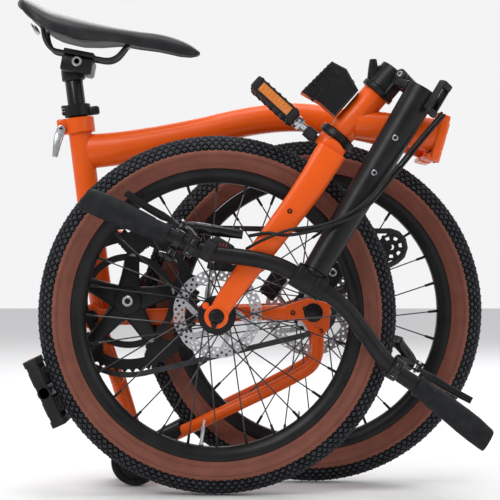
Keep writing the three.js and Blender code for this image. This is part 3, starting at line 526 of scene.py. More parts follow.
def rim(name, body, at):
    shape = Shape()
    half = [(198, 6), (202, 12.6), (RIM_OUT - 0.4, 13.2), (RIM_OUT, 14.8), (RIM_OUT - 2, 15), (199, 14.6)]
    half += [(191, 8.5), (189, 6), (188.2, 2)]
    shape.turned(at, mirrored(half), 160)
    stand_in(name + "_rim", body, shape, BLACK)
    valve = Shape()
    t = radians(-97)
    out = Vector((cos(t), 0, sin(t)))
    valve.bar(at + out * 189, at + out * 160, 2.8, 2.6, 16)
    valve.bar(at + out * 187.5, at + out * 184, 4.2, 4.2, 6)
    valve.bar(at + out * 160, at + out * 152, 1.8, 1.6, 12)
    piece(name + "_valve", body, valve, [STEEL])


def spokes(name, body, at, flange, hub_half):
    shape = Shape()
    for i in range(SPOKES):
        side = 1 if i % 2 else -1
        t = 2 * pi * i / SPOKES
        lean = 0.62 if (i // 2) % 2 else -0.62
        root = around(at, flange - 2, t + lean, side * hub_half)
        end = around(at, SPOKE_END, t, side * 2.5)
        inward = (root - end).normalized()
        shape.tint(0).bar(root, end, 1.0, 1.0, 8, soft=0.1)
        shape.tint(1).bar(end + inward * 12, end - inward * 2, 2.0, 2.2, 10, soft=0.3)
        shape.tint(0).bar(root - Y * (side * 3), root + Y * (side * 0.8), 1.5, 1.5, 8, soft=0.2)
    piece(name + "_spokes_fine", body, shape, [DARK, BLACK], [name + "_spokes"])


def hub(name, body, at, flange, hub_half, reach, cog=False):
    shape = Shape()
    half = [(16, hub_half - 8), (flange - 2, hub_half - 3), (flange, hub_half), (flange - 2, hub_half + 2)]
    half += [(14, hub_half + 3), (14, reach - 2), (10, reach), (7, reach)]
    shape.turned(at, mirrored(half, [(15, 0)]), 64)
    stand_in(name + "_hub", body, shape, BLACK)
    if cog:
        teeth = Shape()
        count = 13
        cell_plate(teeth, at, lambda r, t: True, 14, 27, 3, count * 8, -46.5, -43.5,
                   lambda t: 27.4 + 1.8 * max(-1, min(1, 1.6 * cos(t * count))))
        piece(name + "_sprocket", body, teeth, [STEEL])


def rotor(name, body, at, y, radius):
    shape = Shape()
    holes, hole_radius = 30, 1.9

    def keep(r, t):
        if r > radius - 17:
            step = 2 * pi / holes
            for row, inset in enumerate((4, 8.5, 13)):
                rr = radius - inset
                tt = (t + row * step / 2) % step - step / 2
                if (r - rr) ** 2 + (tt * rr) ** 2 < hole_radius ** 2:
                    return False
            return True
        if r < 24:
            return True
        sixth = 2 * pi / 6
        arm = (t + (r - 24) * 0.016) % sixth
        return arm * r < 7.5 or arm * r > sixth * r - 2.5

    def edge(t):
        return radius - 0.2 - 1.3 * (0.5 + 0.5 * cos(12 * t)) ** 3

    cell_plate(shape, at, keep, 17, radius - 0.8, 44, 360, y - 0.9, y + 0.9, edge)
    stand_in(name + "_brake_disc", body, shape, STEEL)
    bolts = Shape()
    for t in turns(6):
        out = 1 if y > 0 else -1
        bolts.bolt(around(at, 21, t, y) + Y * (0.8 * out), Y * out, 3.4, 2)
    bolts.turned(at + Y * y, [(12, -1.6), (17.5, -1.6), (18.5, 0), (17.5, 1.6), (12, 1.6)], 40)
    piece(name + "_brake_disc_carrier", body, bolts, [BLACK])


for wheel_name, wheel_body, centre, big, half_hub, hub_reach, disc_y, disc_r in (
    ("front", "front_wheel", FRONT_AXLE, 27, 27, 47, 38, 65),
    ("rear", "rear_wheel", REAR_AXLE, 31, 24, 48, 42, 70),
):
    tyre(wheel_name, wheel_body, centre)
    rim(wheel_name, wheel_body, centre)
    spokes(wheel_name, wheel_body, centre, big, half_hub)
    hub(wheel_name, wheel_body, centre, big, half_hub, hub_reach, wheel_name == "rear")
    rotor(wheel_name, wheel_body, centre, disc_y, disc_r)


# ---------- fork, headset ----------
FORK_SIDE = 57  # from the wheel's plane to the middle of a fork blade


def fork():
    x, y, z = FRONT_AXLE
    crown = on_head(-22, 6)
    shape = Shape()
    for s in (-1, 1):
        blade = y + s * FORK_SIDE
        shape.sweep([(crown.x + 2, y + s * 54, crown.z + 2), (crown.x - 34, blade, crown.z - 55),
                     (x + 8, blade, z + 14), (x, blade, z - 4)],
                    [(21.5, 8.4), (20, 8), (14, 6.5), (12, 6)], 40, 40, power=2.6)
        shape.disc((x, blade, z), 17, 13, 48, soft=1.6)
        shape.disc((x - 15, blade, z + 15), 5, 5, 24)
    arch = ((-54, 1, 1), (-30, 0, 3), (0, 0, 4), (30, 0, 3), (54, 1, 1))
    shape.sweep([(crown.x + ahead, y + left, crown.z + up) for left, ahead, up in arch],
                [(18, 14.5), (17.5, 17), (17.5, 17.5), (17.5, 17), (18, 14.5)], 36, 40,
                side=(0.6, 0, 0.8), power=2.3)
    shape.bar(on_head(-23), on_head(-4), 21, 23, 48)
    shape.bar(on_head(-6), on_head(125), 14, 14, 32)
    stand_in("fork", "steering", shape, ORANGE)
    trim = Shape()
    trim.disc((x, y - 67.4, z), 9, 7, 6, soft=1)
    trim.disc((x, y - 64.2, z), 11, 1.4, 48)
    trim.disc((x, y, z), 6, 128, 24)
    trim.bar((x - 3, y - 64, z - 9), (x - 4, y - 64.4, z - 18), 5, 2.2, 20)
    stand_in("front_axle", "steering", trim, BLACK)
    screws = Shape()
    screws.bolt((x, y - 71.5, z), -Y, 5, 1.2)
    spot = Vector((mix(crown.x, x, 0.36), y - 65.2, mix(crown.z, z, 0.36)))
    screws.bolt(spot + Y * 0.6, -Y, 3.6, 2.2)
    piece("fork_screws", "steering", screws, [BLACK])
    ring = Shape()
    profile = [(15.2, -2), (26.5, -2), (28, -0.6), (28, 7), (26.5, 8.8), (21, 9), (15.2, 9)]
    ring.turned(on_head(0), profile, 64, axis=HEAD_DIR)
    piece("lower_headset_fine", "front_half", ring, [BLACK], ["lower_headset_ring"])


PAD_GAP = 2.4  # from the disc's middle to each half of a caliper


def caliper(name, body, at, disc_y, y0, y1, lean, out):
    """A caliper: two halves round the disc joined by a bridge, with round caps and bolts."""
    c, s = cos(radians(lean)), sin(radians(lean))
    x, z = at

    def corner(a, b):
        return (x + a * c - b * s, z + a * s + b * c)

    def outline(*corners):
        return [corner(a, b) for a, b in corners]

    half = outline((-22, -9), (-16, -11), (16, -11), (22, -6), (24, 6), (14, 14), (-20, 13))
    bridge = outline((-22, 8.4), (24, 8.4), (21, 16), (-19, 16))
    shape = Shape()
    shape.plate(half, y0, disc_y - PAD_GAP, soft=2.5)
    shape.plate(half, disc_y + PAD_GAP, y1, soft=2.5)
    shape.plate(bridge, y0 + 0.5, y1 - 0.5, soft=2)
    mid = corner(0, 1)
    for y, d in ((y0, -1), (y1, 1)):
        shape.disc((mid[0], y + d * 0.4, mid[1]), 9, 1.6, 36)
    stand_in(name, body, shape, BLACK)
    small = Shape()
    for a in (-15, 16):
        spot = corner(a, 2)
        y = y0 if out < 0 else y1
        small.bolt((spot[0], y - out * 0.5, spot[1]), Y * out, 3.6, 3)
    piece(name + "_bolts", body, small, [STEEL])


fork()
caliper("front_brake_caliper", "steering", (-40, 330), FRONT_Y + 38, FRONT_Y + 28.5, FRONT_Y + 48, -5, -1)
caliper("rear_brake_caliper", "rear_triangle", (38, 294), 42, 31, 58.8, 56, 1)

# ---------- frame halves ----------
LEAN = radians(16)
PIN_AT = Vector((277, -70, 508))
PIN_DIR = Vector((sin(LEAN), 0, cos(LEAN)))
PIN_OUT = Vector((PIN_DIR.z, 0, -PIN_DIR.x))


def on_pin(up, out=0.0, left=0.0):
    return PIN_AT + PIN_DIR * up + PIN_OUT * out + Y * left


def hinge_block(shape, up, out, left, size, soft=2.5):
    shape.block(on_pin(up, out, left), size, PIN_DIR, PIN_OUT, soft)


def front_half():
    shape = Shape()
    shape.bar(on_head(10), on_head(HEAD_LENGTH - 0.4), 20, 20, 64, soft=1.2)
    start, end = on_head(34, 6), on_pin(2, -5, -70)
    shape.sweep([start, (start + end) / 2 + Z * 3, end], [(22, 20), (22, 22), (22, 26)], 30, 48,
                side=Z, power=2.2)
    hinge_block(shape, 0, -7, -52, [13, 84, 66], 4)
    hinge_block(shape, 30, -13, -52, [14, 80, 7], 2.5)
    hinge_block(shape, -30, -13, -52, [14, 80, 7], 2.5)
    hinge_block(shape, 0, -5.5, -12, [10, 22, 24], 2)
    shape.bar(on_pin(-12), on_pin(12), 9, 9, 40)
    piece("front_frame_fine", "front_half", shape, [ORANGE], ["front_frame_half"])
    bolts = Shape()
    for up, left in ((20, -30), (-20, -30), (20, -78), (-20, -78)):
        bolts.bolt(on_pin(up, -13, left), -PIN_OUT, 3.6, 2.5)
    piece("front_flange_screws", "front_half", bolts, [BLACK])


def main_frame():
    shape = Shape()
    shape.sweep([(-219.8, 0, 235), (-224.6, 0, 274), (-241, 0, 407), (-257.5, 0, 539)],
                [(16, 16)] + [(17.5, 17.5)] * 3, 40, 48)
    main = [(-244, 497), (-190, 503), (-136, 513), (-75, 526), (0, 543), (53, 549), (90, 548), (180, 532),
            (270, 509.5)]
    shape.sweep([(x, 0, z) for x, z in main],
                [(26, 16), (25, 19), (23, 20), (22, 21)] + [(22, 22)] * 4 + [(25, 22)], 90, 48)
    shape.disc(BB, 15, 55, 48)
    shape.disc(PIVOT, 19, 36, 48, soft=1.5)
    shape.plate([(-246, 236), (-238, 264), (-186, 292), (-184, 262), (-210, 236)], -14, 14, soft=3)
    stay = [(-226, 372), (-196, 370), (-178, 357), (-176, 320), (-180, 284)]
    shape.sweep([(x, 0, z) for x, z in stay], [(9, 11)] * 4 + [(10, 11)], 40, 32, power=2.8)
    hinge_block(shape, 0, -7, 51, [13, 82, 66], 4)
    for s in (-1, 1):
        hinge_block(shape, s * 30, -13, 51, [14, 78, 7], 2.5)
        hinge_block(shape, s * 21.3, -5.5, 12, [10, 22, 17.4], 2)
        shape.bar(on_pin(s * 12.6), on_pin(s * 30), 9, 9, 40)
    stand_in("main_frame", "frame", shape, ORANGE)
    dark = Shape()
    dark.bar(on_pin(-31.5), on_pin(33), 4, 4, 24)
    dark.bar(on_pin(30), on_pin(33.5), 7, 7, 6)
    dark.sweep([(-104, 0, 499.6), (-98, 0, 500), (-92, 0, 501.4)], [(3, 5), (3.5, 6), (3, 5)], 10, 20)
    dark.disc(BB, 12, 59, 36)
    piece("frame_hardware", "frame", dark, [BLACK])


REAR_PLATE = [(-40, 11), (-10, 22), (26, 14), (24, -22), (14, -36), (-2, -34), (-16, -12), (-40, -11)]
APEX = Vector((-164, 0, 50))
ROLLER = Vector((-170, 0, 36))


def rear_triangle():
    x, _, z = REAR_AXLE
    shape = Shape()
    for s in (-1, 1):
        shape.disc((PIVOT.x, s * 28.5, PIVOT.z), 17, 19, 48, soft=1.5)
        shape.sweep([(PIVOT.x, s * 33.5, PIVOT.z), (-150, s * 33.5, 250), (-60, s * 34, 253),
                     (20, s * 52, 256), (62, s * 64, 257)],
                    [(12, 5), (12, 5), (12, 5), (11, 7), (11, 4.6)], 60, 36, power=2.4)
        shape.plate([(x + a, z + b) for a, b in REAR_PLATE], s * 60, s * 67, soft=1.5)
        shape.sweep([(x + 6, s * 63, z - 22), (x + 6, s * 63, z - 60), (x - 2, s * 63, z - 78),
                     (x - 24, s * 62, z - 93), (-60, s * 52, 100), (-128, s * 26, 66), APEX],
                    [(9.4, 6), (9, 8.6)] + [(9, 9)] * 4 + [(9.4, 9.4)], 90, 36)
        shape.sweep([(PIVOT.x, s * 24, PIVOT.z), (-222, s * 23, 214), (-198, s * 17, 150)],
                    [(12, 4.6), (11, 4.6), (9, 8)], 24, 36)
    shape.bar((-201, 0, 162), (-172, 0, 66), 12, 12, 40)
    shape.bar((-199, -21, 155), (-199, 21, 155), 10, 10, 40)
    shape.disc(APEX, 14, 40, 40)
    shape.disc(ROLLER, 8, 77, 32)
    shape.bar(ROLLER, APEX, 9, 9, 32)
    piece("rear_triangle_fine", "rear_triangle", shape, [ORANGE], ["rear_frame"])
    dark = Shape()
    dark.disc(ROLLER, 3, 110, 20)
    for s in (-1, 1):
        dark.disc(ROLLER + Y * (s * 55.5), 6, 4, 24)
        for a, b in ((-12, 6), (11, -27), (-30, 0)):
            dark.bolt((x + a, s * 66.6, z + b), Y * s, 3.6, 2.4)
        dark.sweep([(-100, s * 38.5, 83), (-128, s * 28, 68), (-140, s * 22, 62)],
                   [(11.2, 11.2), (11.8, 11.8), (11.2, 11.2)], 12, 32)
        dark.disc(PIVOT + Y * (s * 40.2), 10.6, 3.0, 36)
        dark.disc(REAR_AXLE + Y * (s * 68), 14, 1.6, 40)
        dark.disc(REAR_AXLE + Y * (s * 73), 6, 6, 24)
        dark.bar(REAR_AXLE + Y * (s * 68.5), REAR_AXLE + Y * (s * 75), 10.8, 10.8, 6, soft=1.2)
    dark.disc(REAR_AXLE, 6, 150, 24)
    piece("rear_triangle_hardware", "rear_triangle", dark, [BLACK], ["rear_axle", "rear_pivot_bolt"])
    rubber = Shape()
    rubber.plate([(-196, 36), (-180, 70), (-187, 91), (-201, 91), (-207, 60)], -12, 12, soft=3)
    for k in range(5):
        left, low = mix(-197, -208, k / 4), mix(37, 60, k / 4)
        rib = [(left - 0.4, low), (left + 8, low), (left + 8, low + 3), (left - 0.4, low + 3)]
        rubber.plate(rib, -12.6, 12.6, soft=1)
    stand_in("suspension_block", "rear_triangle", rubber, RUBBER)


def roller(side, s):
    shape = Shape()
    h = 6.8
    at = ROLLER + Y * (s * 46)
    half = [(35.9, 2), (35.9, h - 2), (35, h), (30, h), (27, h - 1.6), (26, 2.5), (9.5, 2.5), (9, h), (4, h)]
    shape.turned(at, mirrored(half, [(35.2, 0)]), 72)
    for t in turns(5):
        d = around((0, 0, 0), 1, t)
        shape.bar(at + d * 8, at + d * 27, 2.6, 2.6, 12)
    stand_in("roller_" + side, side + "_roller", shape, PLASTIC)


def frame_clamp():
    clamp = Shape()
    clamp.bar(on_pin(-16, -2, 102), on_pin(16, -2, 102), 5, 5, 32)
    hinge_block(clamp, 0, -26, 103, [49, 6, 22], 2.5)
    piece("frame_clamp_fine", "frame_clamp", clamp, [BLACK], ["frame_clamp_lever"])


front_half()
main_frame()
rear_triangle()
roller("right", -1)
roller("left", 1)
frame_clamp()


# ---------- drivetrain ----------
CRANK = 170
CRANK_AIM = radians(228.7)
CHAIN_Y = -45
RING_R = 107
LINK, LINK_END = 12.7, 4.0  # the chain's pitch and the radius of a link plate's ends
LINK_HALF = 0.45  # half of a link plate's thickness


def crank_point(reach, y, turn=0.0):
    return around(BB, reach, CRANK_AIM + turn, y)


def crank_arm(shape, y, turn):
    shape.sweep([crank_point(reach, y, turn) for reach in (0, 60, 125, CRANK)],
                [(15, 6), (11.5, 6.8), (10.5, 6.5), (12, 6)], 36, 32, power=2.8)
    shape.disc(crank_point(0, y, turn), 20.5, 14.6, 48, soft=2)
    shape.disc(crank_point(CRANK, y, turn), 13.6, 13.8, 40, soft=2)


def drivetrain():
    shape = Shape()
    crank_arm(shape, -64, 0)
    for turn in turns(5):
        shape.sweep([crank_point(10, -59, turn), crank_point(38, -57.6, turn), crank_point(66, -53.5, turn)],
                    [(19, 4), (13.5, 4.4), (10.5, 4)], 18, 28, power=3)
    shape.disc((BB.x, -58, BB.z), 19, 10, 48)
    shape.turned(BB, [(60, -53.4), (70, -53.4), (70, -50.2), (60, -50.2)], 96)
    stand_in("right_crank", "crankset", shape, BLACK)
    other = Shape()
    crank_arm(other, 68, pi)
    stand_in("left_crank", "crankset", other, BLACK)
    metal = Shape()
    metal.disc(BB, 8, 112, 32)
    for turn in turns(5):
        metal.disc(crank_point(65, -53, turn), 5.6, 3.4, 24)
    for y, d in ((-71.2, -1), (74.8, 1)):
        metal.bolt((BB.x, y, BB.z), Y * d, 8, 1.6)
        metal.bolt(crank_point(CRANK, y * 0.985, 0 if d < 0 else pi), Y * d, 5.5, 1)
    piece("crank_bolts", "crankset", metal, [STEEL], ["bottom_bracket_axle"])

    ring = Shape()
    teeth = 54

    def keep(r, t):
        if r > 86:
            return True
        arms = [(t - CRANK_AIM - turn + pi) % (2 * pi) - pi for turn in turns(5)]
        near = min(abs(arm) for arm in arms)
        return near * r < 9 + max(0, r - 70) * 0.9

    cell_plate(ring, BB, keep, 58, 103.5, 16, teeth * 8, CHAIN_Y - 1.6, CHAIN_Y + 1.6,
               lambda t: 103.7 + 2.1 * max(-0.9, min(1, 1.5 * cos(t * teeth))))
    stand_in("chainring", "crankset", ring, BLACK)


def pedal(name, body, spindle_body, root, out, wide):
    out, wide = Vector(out).normalized(), Vector(wide).normalized()
    wide = (wide - out * wide.dot(out)).normalized()

    def at(u, w=0.0):
        return Vector(root) + out * u + wide * w

    shape = Shape()
    shape.bar(at(12), at(91), 11, 10, 32, soft=2)
    for w in (-46.5, 46.5):
        shape.block(at(52, w), [9, 20, 77], out, wide, 3)
        for k in range(7):
            shape.block(at(20 + k * 10.6, w), [10, 21.6, 4.4], out, wide, 1)
    for u in (17, 87):
        shape.block(at(u), [96, 17, 8], out, wide, 3)
    for w in (-23, 23):
        shape.block(at(52, w), [9, 15, 74], out, wide, 3)
        for k in range(6):
            shape.block(at(22 + k * 12, w), [22, 20.5, 3.6], out, wide, 1.2)
    piece(name + "_body", body, shape, [PLASTIC], [name + "_platform"])
    glass = Shape()
    for w in (-51.2, 51.2):
        glass.block(at(52, w), [1.6, 13, 54], out, wide, 0.7)
        for k in range(9):
            glass.block(at(28 + k * 6, w), [2.0, 12, 2.2], out, wide, 0.5)
    piece(name + "_reflectors", body, glass, [AMBER])
    steel = Shape()
    steel.bar(at(-8), at(84), 5.8, 5.8, 24)
    steel.bar(at(1), at(6), 10, 10, 6, soft=0.8)
    steel.bar(at(6), at(11), 9.5, 9.5, 32)
    stand_in(name + "_spindle", spindle_body, steel, STEEL)


def chain_route():
    """The chain's centre line as a closed loop of points in the XZ plane."""
    arcs = ((BB, RING_R + 3.0, 92, 282, 60), (REAR_AXLE, 32.0, 265, 400, 24), (PULLEY, 24.0, 300, 460, 24))
    points = []
    for centre, radius, start, end, count in arcs:
        for k in range(count + 1):
            t = radians(start + (end - start) * k / count)
            points.append(Vector((centre.x + radius * cos(t), CHAIN_Y, centre.z + radius * sin(t))))
    return points


def chain():
    route = chain_route()
    loop = route + [route[0]]
    total = sum((b - a).length for a, b in zip(loop, loop[1:]))
    count = 2 * round(total / (2 * LINK))
    pitch = total / count
    stations, travelled, k = [], 0.0, 0
    for a, b in zip(loop, loop[1:]):
        span = (b - a).length
        while k * pitch <= travelled + span and k < count:
            stations.append(a.lerp(b, (k * pitch - travelled) / span))
            k += 1
        travelled += span
    shape = Shape()
    for k, a in enumerate(stations):
        b = stations[(k + 1) % len(stations)]
        reach = (2.9, 1.9)[k % 2]
        d = (b - a).normalized()
        n = Vector((-d.z, 0, d.x))
        outline = []
        for centre, back in ((a, pi / 2), (b, -pi / 2)):
            for j in range(7):
                t = back + pi * j / 6
                v = centre + d * (LINK_END * cos(t)) + n * (LINK_END * sin(t))
                outline.append((v.x, v.z))
        for s in (-1, 1):
            y = CHAIN_Y + s * reach
            faces_y = (y - LINK_HALF, y + LINK_HALF)
            rings = [[Vector((x, face_y, z)) for x, z in outline] for face_y in faces_y]
            for f in shape.loft(rings):
                f.smooth = False
        shape.disc((a.x, CHAIN_Y, a.z), 1.9, 7.4, 10, soft=0.2)
        shape.disc((a.x, CHAIN_Y, a.z), 3.6, 2.8, 12, soft=0.2)
    loose = ("tensioner", (128, CHAIN_Y, 316), (180, CHAIN_Y, 316))
    piece("chain_links", "rear_triangle", shape, [DARK], ["chain"], bend=loose)


PULLEY = Vector((206, CHAIN_Y, 353.6))
SLIDE = Vector((122, CHAIN_Y, 316))


def at_y(v, y):
    return Vector((v.x, y, v.z))


def tensioner():
    y, arm_y = -54.6, -38
    shape = Shape()
    shape.sweep([(REAR_AXLE.x + 6, y, REAR_AXLE.z + 4), (106, y, 290), at_y(SLIDE, y)],
                [(15, 3.9), (14, 3.9), (17, 3.9)], 24, 32, power=2.6)
    shape.disc(at_y(SLIDE, -52), 16.8, 9.6, 48, soft=1.6)
    shape.disc(at_y(SLIDE, -57.4), 12, 2, 40)
    stand_in("tensioner_body", "rear_triangle", shape, BLACK)
    bolt = Shape()
    bolt.bolt(at_y(SLIDE, -58), -Y, 6, 2.4)
    piece("tensioner_bolt", "rear_triangle", bolt, [STEEL])
    arm = Shape()
    arm.sweep([at_y(SLIDE, arm_y), (160, arm_y, 338), at_y(PULLEY, arm_y)], [(12, 2), (9, 2), (10, 2)],
              24, 32, power=3)
    arm.disc(at_y(SLIDE, -42), 12, 9, 40)
    stand_in("tensioner_arm", "tensioner", arm, DARK)
    wheel = Shape()
    count = 14

    def keep(r, t):
        return not 11 < r < 15.5 or (t * 7 / pi) % 2 > 0.9

    cell_plate(wheel, PULLEY, keep, 4, 20, 18, count * 12, CHAIN_Y - 1.4, CHAIN_Y + 1.4,
               lambda t: 20.4 + 0.9 * max(-1, min(1, 1.6 * cos(t * count))))
    wheel.disc(at_y(PULLEY, -42.8), 4.5, 14, 24)
    stand_in("tensioner_pulley", "pulley", wheel, PLASTIC)


drivetrain()
pedal("right_pedal", "right_pedal", "crankset", crank_point(CRANK, -73), -Y, (0.42, 0, -0.91))
STOWED = Vector((74, FRONT_Y, 527))
pedal("stowed_pedal", "stowed_pedal", "steering", STOWED, (-0.74, 0, 0.67), Y)
chain()
tensioner()

# ---------- seat ----------
SEAT_TOP = Vector((-257.7, 0, 541))
SEAT_DIR = (SEAT_TOP - Vector((-224.6, 0, 274))).normalized()


def on_seat(z):
    return SEAT_TOP + SEAT_DIR * ((z - SEAT_TOP.z) / SEAT_DIR.z)


def seat_bar(shape, z0, z1, r0, r1=None, seg=48, soft=0.8):
    shape.bar(on_seat(z0), on_seat(z1), r0, r1, seg, soft=soft)


def seat_group():
    shape = Shape()
    seat_bar(shape, 270, 618, 13.5)
    stand_in("seatpost", "seat", shape, GLOSS)
    collar = Shape()
    collar.turned(on_seat(550), band(13.7, 20, 18), 64, axis=SEAT_DIR)
    collar.block(on_seat(559) + X * 24, [18, 15, 13], SEAT_DIR, X, 4)
    collar.block(on_seat(559) - X * 19, [9, 15, 15], SEAT_DIR, X, 2)
    stand_in("post_collar", "seat", collar, BLACK)
    bolts = Shape()
    bolts.bolt(on_seat(559) - X * 20 - Y * 7, -Y, 3.6, 2)
    bolts.bolt(on_seat(530) - X * 26 - Y * 21, -Y, 4.4, 2)
    bolts.bolt(RAIL_CLAMP - Y * 34, -Y, 7.5, 3)
    piece("seat_bolts", "seat", bolts, [STEEL])
    clamp = Shape()
    profile = [(18.2, 0), (22, 0), (23, 1.2), (23, 22), (22, 23), (14.3, 23), (14.3, 17.5), (18.2, 17)]
    clamp.turned(on_seat(525), profile, 72, axis=SEAT_DIR)
    for s in (-1, 1):
        clamp.block(on_seat(534) - X * 24 + Y * (s * 7), [17, 9, 23], SEAT_DIR, X, 2.5)
    stand_in("seat_clamp", "frame", clamp, ORANGE)
    lever = Shape()
    at = on_seat(530) - X * 26
    lever.sweep([at - Y * 17, at + Vector((-4, -24, -14)), at + Vector((-9, -27, -42))],
                [(7, 3.5), (7, 3), (4, 2.5)], 24, 24, power=2.6)
    lever.disc(at, 3, 36, 20)
    lever.disc(at - Y * 17, 6, 8, 28)
    lever.disc(at + Y * 17, 6, 6, 28)
    stand_in("seat_clamp_lever", "seat_lever", lever, STEEL)


RAIL_Y = 22
RAIL_UP = Vector((0.19, 0, 1)).normalized()
RAIL_CLAMP = on_seat(630) + X * 11
SADDLE = [  # x, half width, top, rim
    (-347, 24, 722, 712), (-343, 42, 725, 707), (-336, 57, 725.4, 701), (-317, 70, 717, 683.5),
    (-300, 73, 708.5, 672), (-287, 73, 704, 666), (-256, 66, 696, 657.5), (-226, 52, 689, 655.5),
    (-196, 36, 683, 656), (-165, 26, 678.5, 650), (-136, 23, 674.5, 646), (-106, 21, 666, 639),
    (-90, 18, 658.5, 637.5), (-80, 13, 651.5, 639), (-75.4, 8, 647, 641.5),
]


def saddle():
    path, place = smooth_path([Vector((x, half, top)) for x, half, top, _ in SADDLE], 90)
    rings = []
    across = 26
    for (p, _), u in zip(path, place):
        i = min(int(u), len(SADDLE) - 2)
        rim = mix(SADDLE[i][3], SADDLE[i + 1][3], u - i)
        ring = []
        for k in range(across + 1):
            a = pi * k / across
            lift = sin(a) ** 0.62 if 0 < k < across else 0
            dip = 2.6 * exp(-(cos(a) * p.y / 7) ** 2) * max(0, min(1, (-p.x - 120) / 60))
            ring.append(Vector((p.x, -p.y * cos(a), rim + 3.5 + (p.z - rim - 3.5) * lift - dip)))
        for k in range(1, 12):
            a = pi * k / 12
            hollow = 5.5 * sin(a) if p.y > 14 else 1
            ring.append(Vector((p.x, p.y * 0.97 * cos(a), rim + 1.2 * abs(cos(a)) + hollow)))
        rings.append(ring)
    shape = Shape()
    shape.loft(rings)
    cover = piece("saddle_cover", "seat", shape, [SADDLE_MAT, PLASTIC], ["saddle"])
    for f in cover.data.polygons:
        if f.normal.z < -0.35:
            f.material_index = 1
    seam = Shape()
    for s in (-1, 1):
        line = [Vector((x, s * half * 0.93, mix(rim, top, 0.52))) for x, half, top, rim in SADDLE[2:-1]]
        seam.sweep(line, 0.9, 60, 8)
    piece("saddle_seam", "seat", seam, [RUBBER])
    under = Shape()
    for s in (-1, 1):
        under.sweep([(-309, s * 32, 682), (-305, s * 30, 662), (-296, s * 25, 649.5),
                     (-280, s * RAIL_Y, 645), (-235, s * RAIL_Y, 636.5), (-212, s * 20, 633.5),
                     (-200, s * 17, 638), (-184, s * 11, 656)], 3.4, 60, 20)
    under.bar((-184, -12, 656), (-184, 12, 656), 4, 4, 20)
    under.bar((-309, -34, 682), (-309, 34, 682), 4, 4, 20)
    stand_in("saddle_rails", "seat", under, DARK)
    clamp = Shape()
    clamp.block(RAIL_CLAMP + RAIL_UP * 13, [46, 66, 8], RAIL_UP, X, 3)
    clamp.block(RAIL_CLAMP - RAIL_UP * 5, [47, 68, 24], RAIL_UP, X, 4)
    clamp.disc(RAIL_CLAMP, 9, 69.6, 32, soft=1.5)
    seat_bar(clamp, 604, 622, 17.5, 17.5, soft=2)
    stand_in("saddle_clamp", "seat", clamp, BLACK)
    clip = Shape()
    clip.block((-322, 0, 680), [6, 26, 12], (-0.5, 0, 0.87), X, 2)
    clip.block((-326, 0, 684), [2.4, 30, 10], (-0.5, 0, 0.87), X, 1)
    piece("saddle_clip", "seat", clip, [STEEL])


seat_group()
saddle()


# ---------- the handlepost's hinge ----------
STEM_PLANE = -218


def cockpit_hinge():
    """The point, line and angle that turn the handlepost from above the fork to the bicycle's side."""
    folded = Vector((-0.5128, -0.0978, -0.853)).normalized()
    line = Vector((0.575, 0.707, -0.412))
    mirror = HEAD_DIR - folded
    line = (line - mirror * (line.dot(mirror) / mirror.length_squared)).normalized()
    move = Vector((243, STEM_PLANE + 31, 574.9)) - on_head(130)
    move -= line * move.dot(line)

    def across(v):
        return v - line * v.dot(line)

    angle = atan2(line.dot(HEAD_DIR.cross(folded)), across(HEAD_DIR).dot(across(folded)))
    at = on_head(130) + move * 0.5 + line.cross(move) * (0.5 / tan(angle / 2))
    return at, line, angle


# ---------- luggage block ----------
def luggage_block():
    outline = [(72.4, 574), (100, 558.2), (121.6, 539), (153.8, 576.1), (137, 606.4), (116, 617.4)]
    shape = Shape()
    shape.plate(outline, FRONT_Y - 25.6, FRONT_Y + 25.6, soft=3)
    inner = [(80, 577), (104, 563), (122, 547), (144, 575), (132, 601), (117, 609)]
    for y in (FRONT_Y - 17, FRONT_Y + 17):
        shape.plate(inner, y - 8.9, y + 8.9, soft=1)
    face = Vector((44, 0, 44)).normalized()
    out = Vector((-face.z, 0, face.x))
    for k in range(7):
        spot = Vector((94, FRONT_Y, 596)) + face * (k * 7.4 - 22) - out * 1.9
        shape.block(spot, [2.2, 49, 4.4], out, face, 0.7)
    near = FRONT_Y - 25
    for d in (0.4, 17):
        a, b = Vector((73.6, 0, 574.2)) - out * d, Vector((115.4, 0, 616)) - out * d
        shape.plate([(v.x, v.z) for v in (a, b, b - out * 4, a - out * 4)], near - 2.6, near, soft=0.7)
    for k in (0.02, 0.34, 0.66, 0.90):
        spot = Vector((74.2, near - 1.3, 573.6)) + face * (59 * k + 2) - out * 10.5
        shape.block(spot, [3.4, 2.4, 14.5], out, face, 0.7)
    stand_in("luggage_block", "front_half", shape, GLOSS)
    screws = Shape()
    for y in (-15, 15):
        screws.bolt(Vector((146, FRONT_Y + y, 590)), (0.87, 0, 0.5), 4, 1.5)
    piece("luggage_block_screws", "front_half", screws, [STEEL])


# ---------- handlepost and handlebar, laid out as in riding position and turned down ----------
STEM_FOOT, STEM_BAR = 130, 445
HINGE_AT, HINGE_DIR, HINGE_TURN = cockpit_hinge()
TURN = Matrix.Rotation(HINGE_TURN, 4, HINGE_DIR)
FOLD = Matrix.Translation(HINGE_AT) @ TURN @ Matrix.Translation(-HINGE_AT)


def corner(up, out, along=0.0):
    return on_head(up, out * sqrt(0.5), -out * sqrt(0.5)) + HINGE_DIR * along


def rise(left):
    d = abs(left)
    if d >= 204:
        return 46 + (d - 204) * 16 / 123
    t = max(0.0, min(1.0, (d - 10) / 194))
    return 46 * t ** 3 * (t * (t * 6 - 15) + 10)


def on_bar(left, up=0.0, ahead=0.0):
    return on_head(STEM_BAR + up, ahead, left)


def on_grip(side, along, up=0.0, ahead=0.0):
    return on_bar(side * along, rise(along) + up, ahead)


HINGE_SIDE = corner(0, 1) - on_head(0)


def stem_block(shape, at, size, soft):
    shape.block(at, size, HEAD_DIR, HINGE_SIDE, soft)


def bar_block(shape, at, size, soft):
    shape.block(at, size, HEAD_DIR, HEAD_FRONT, soft)


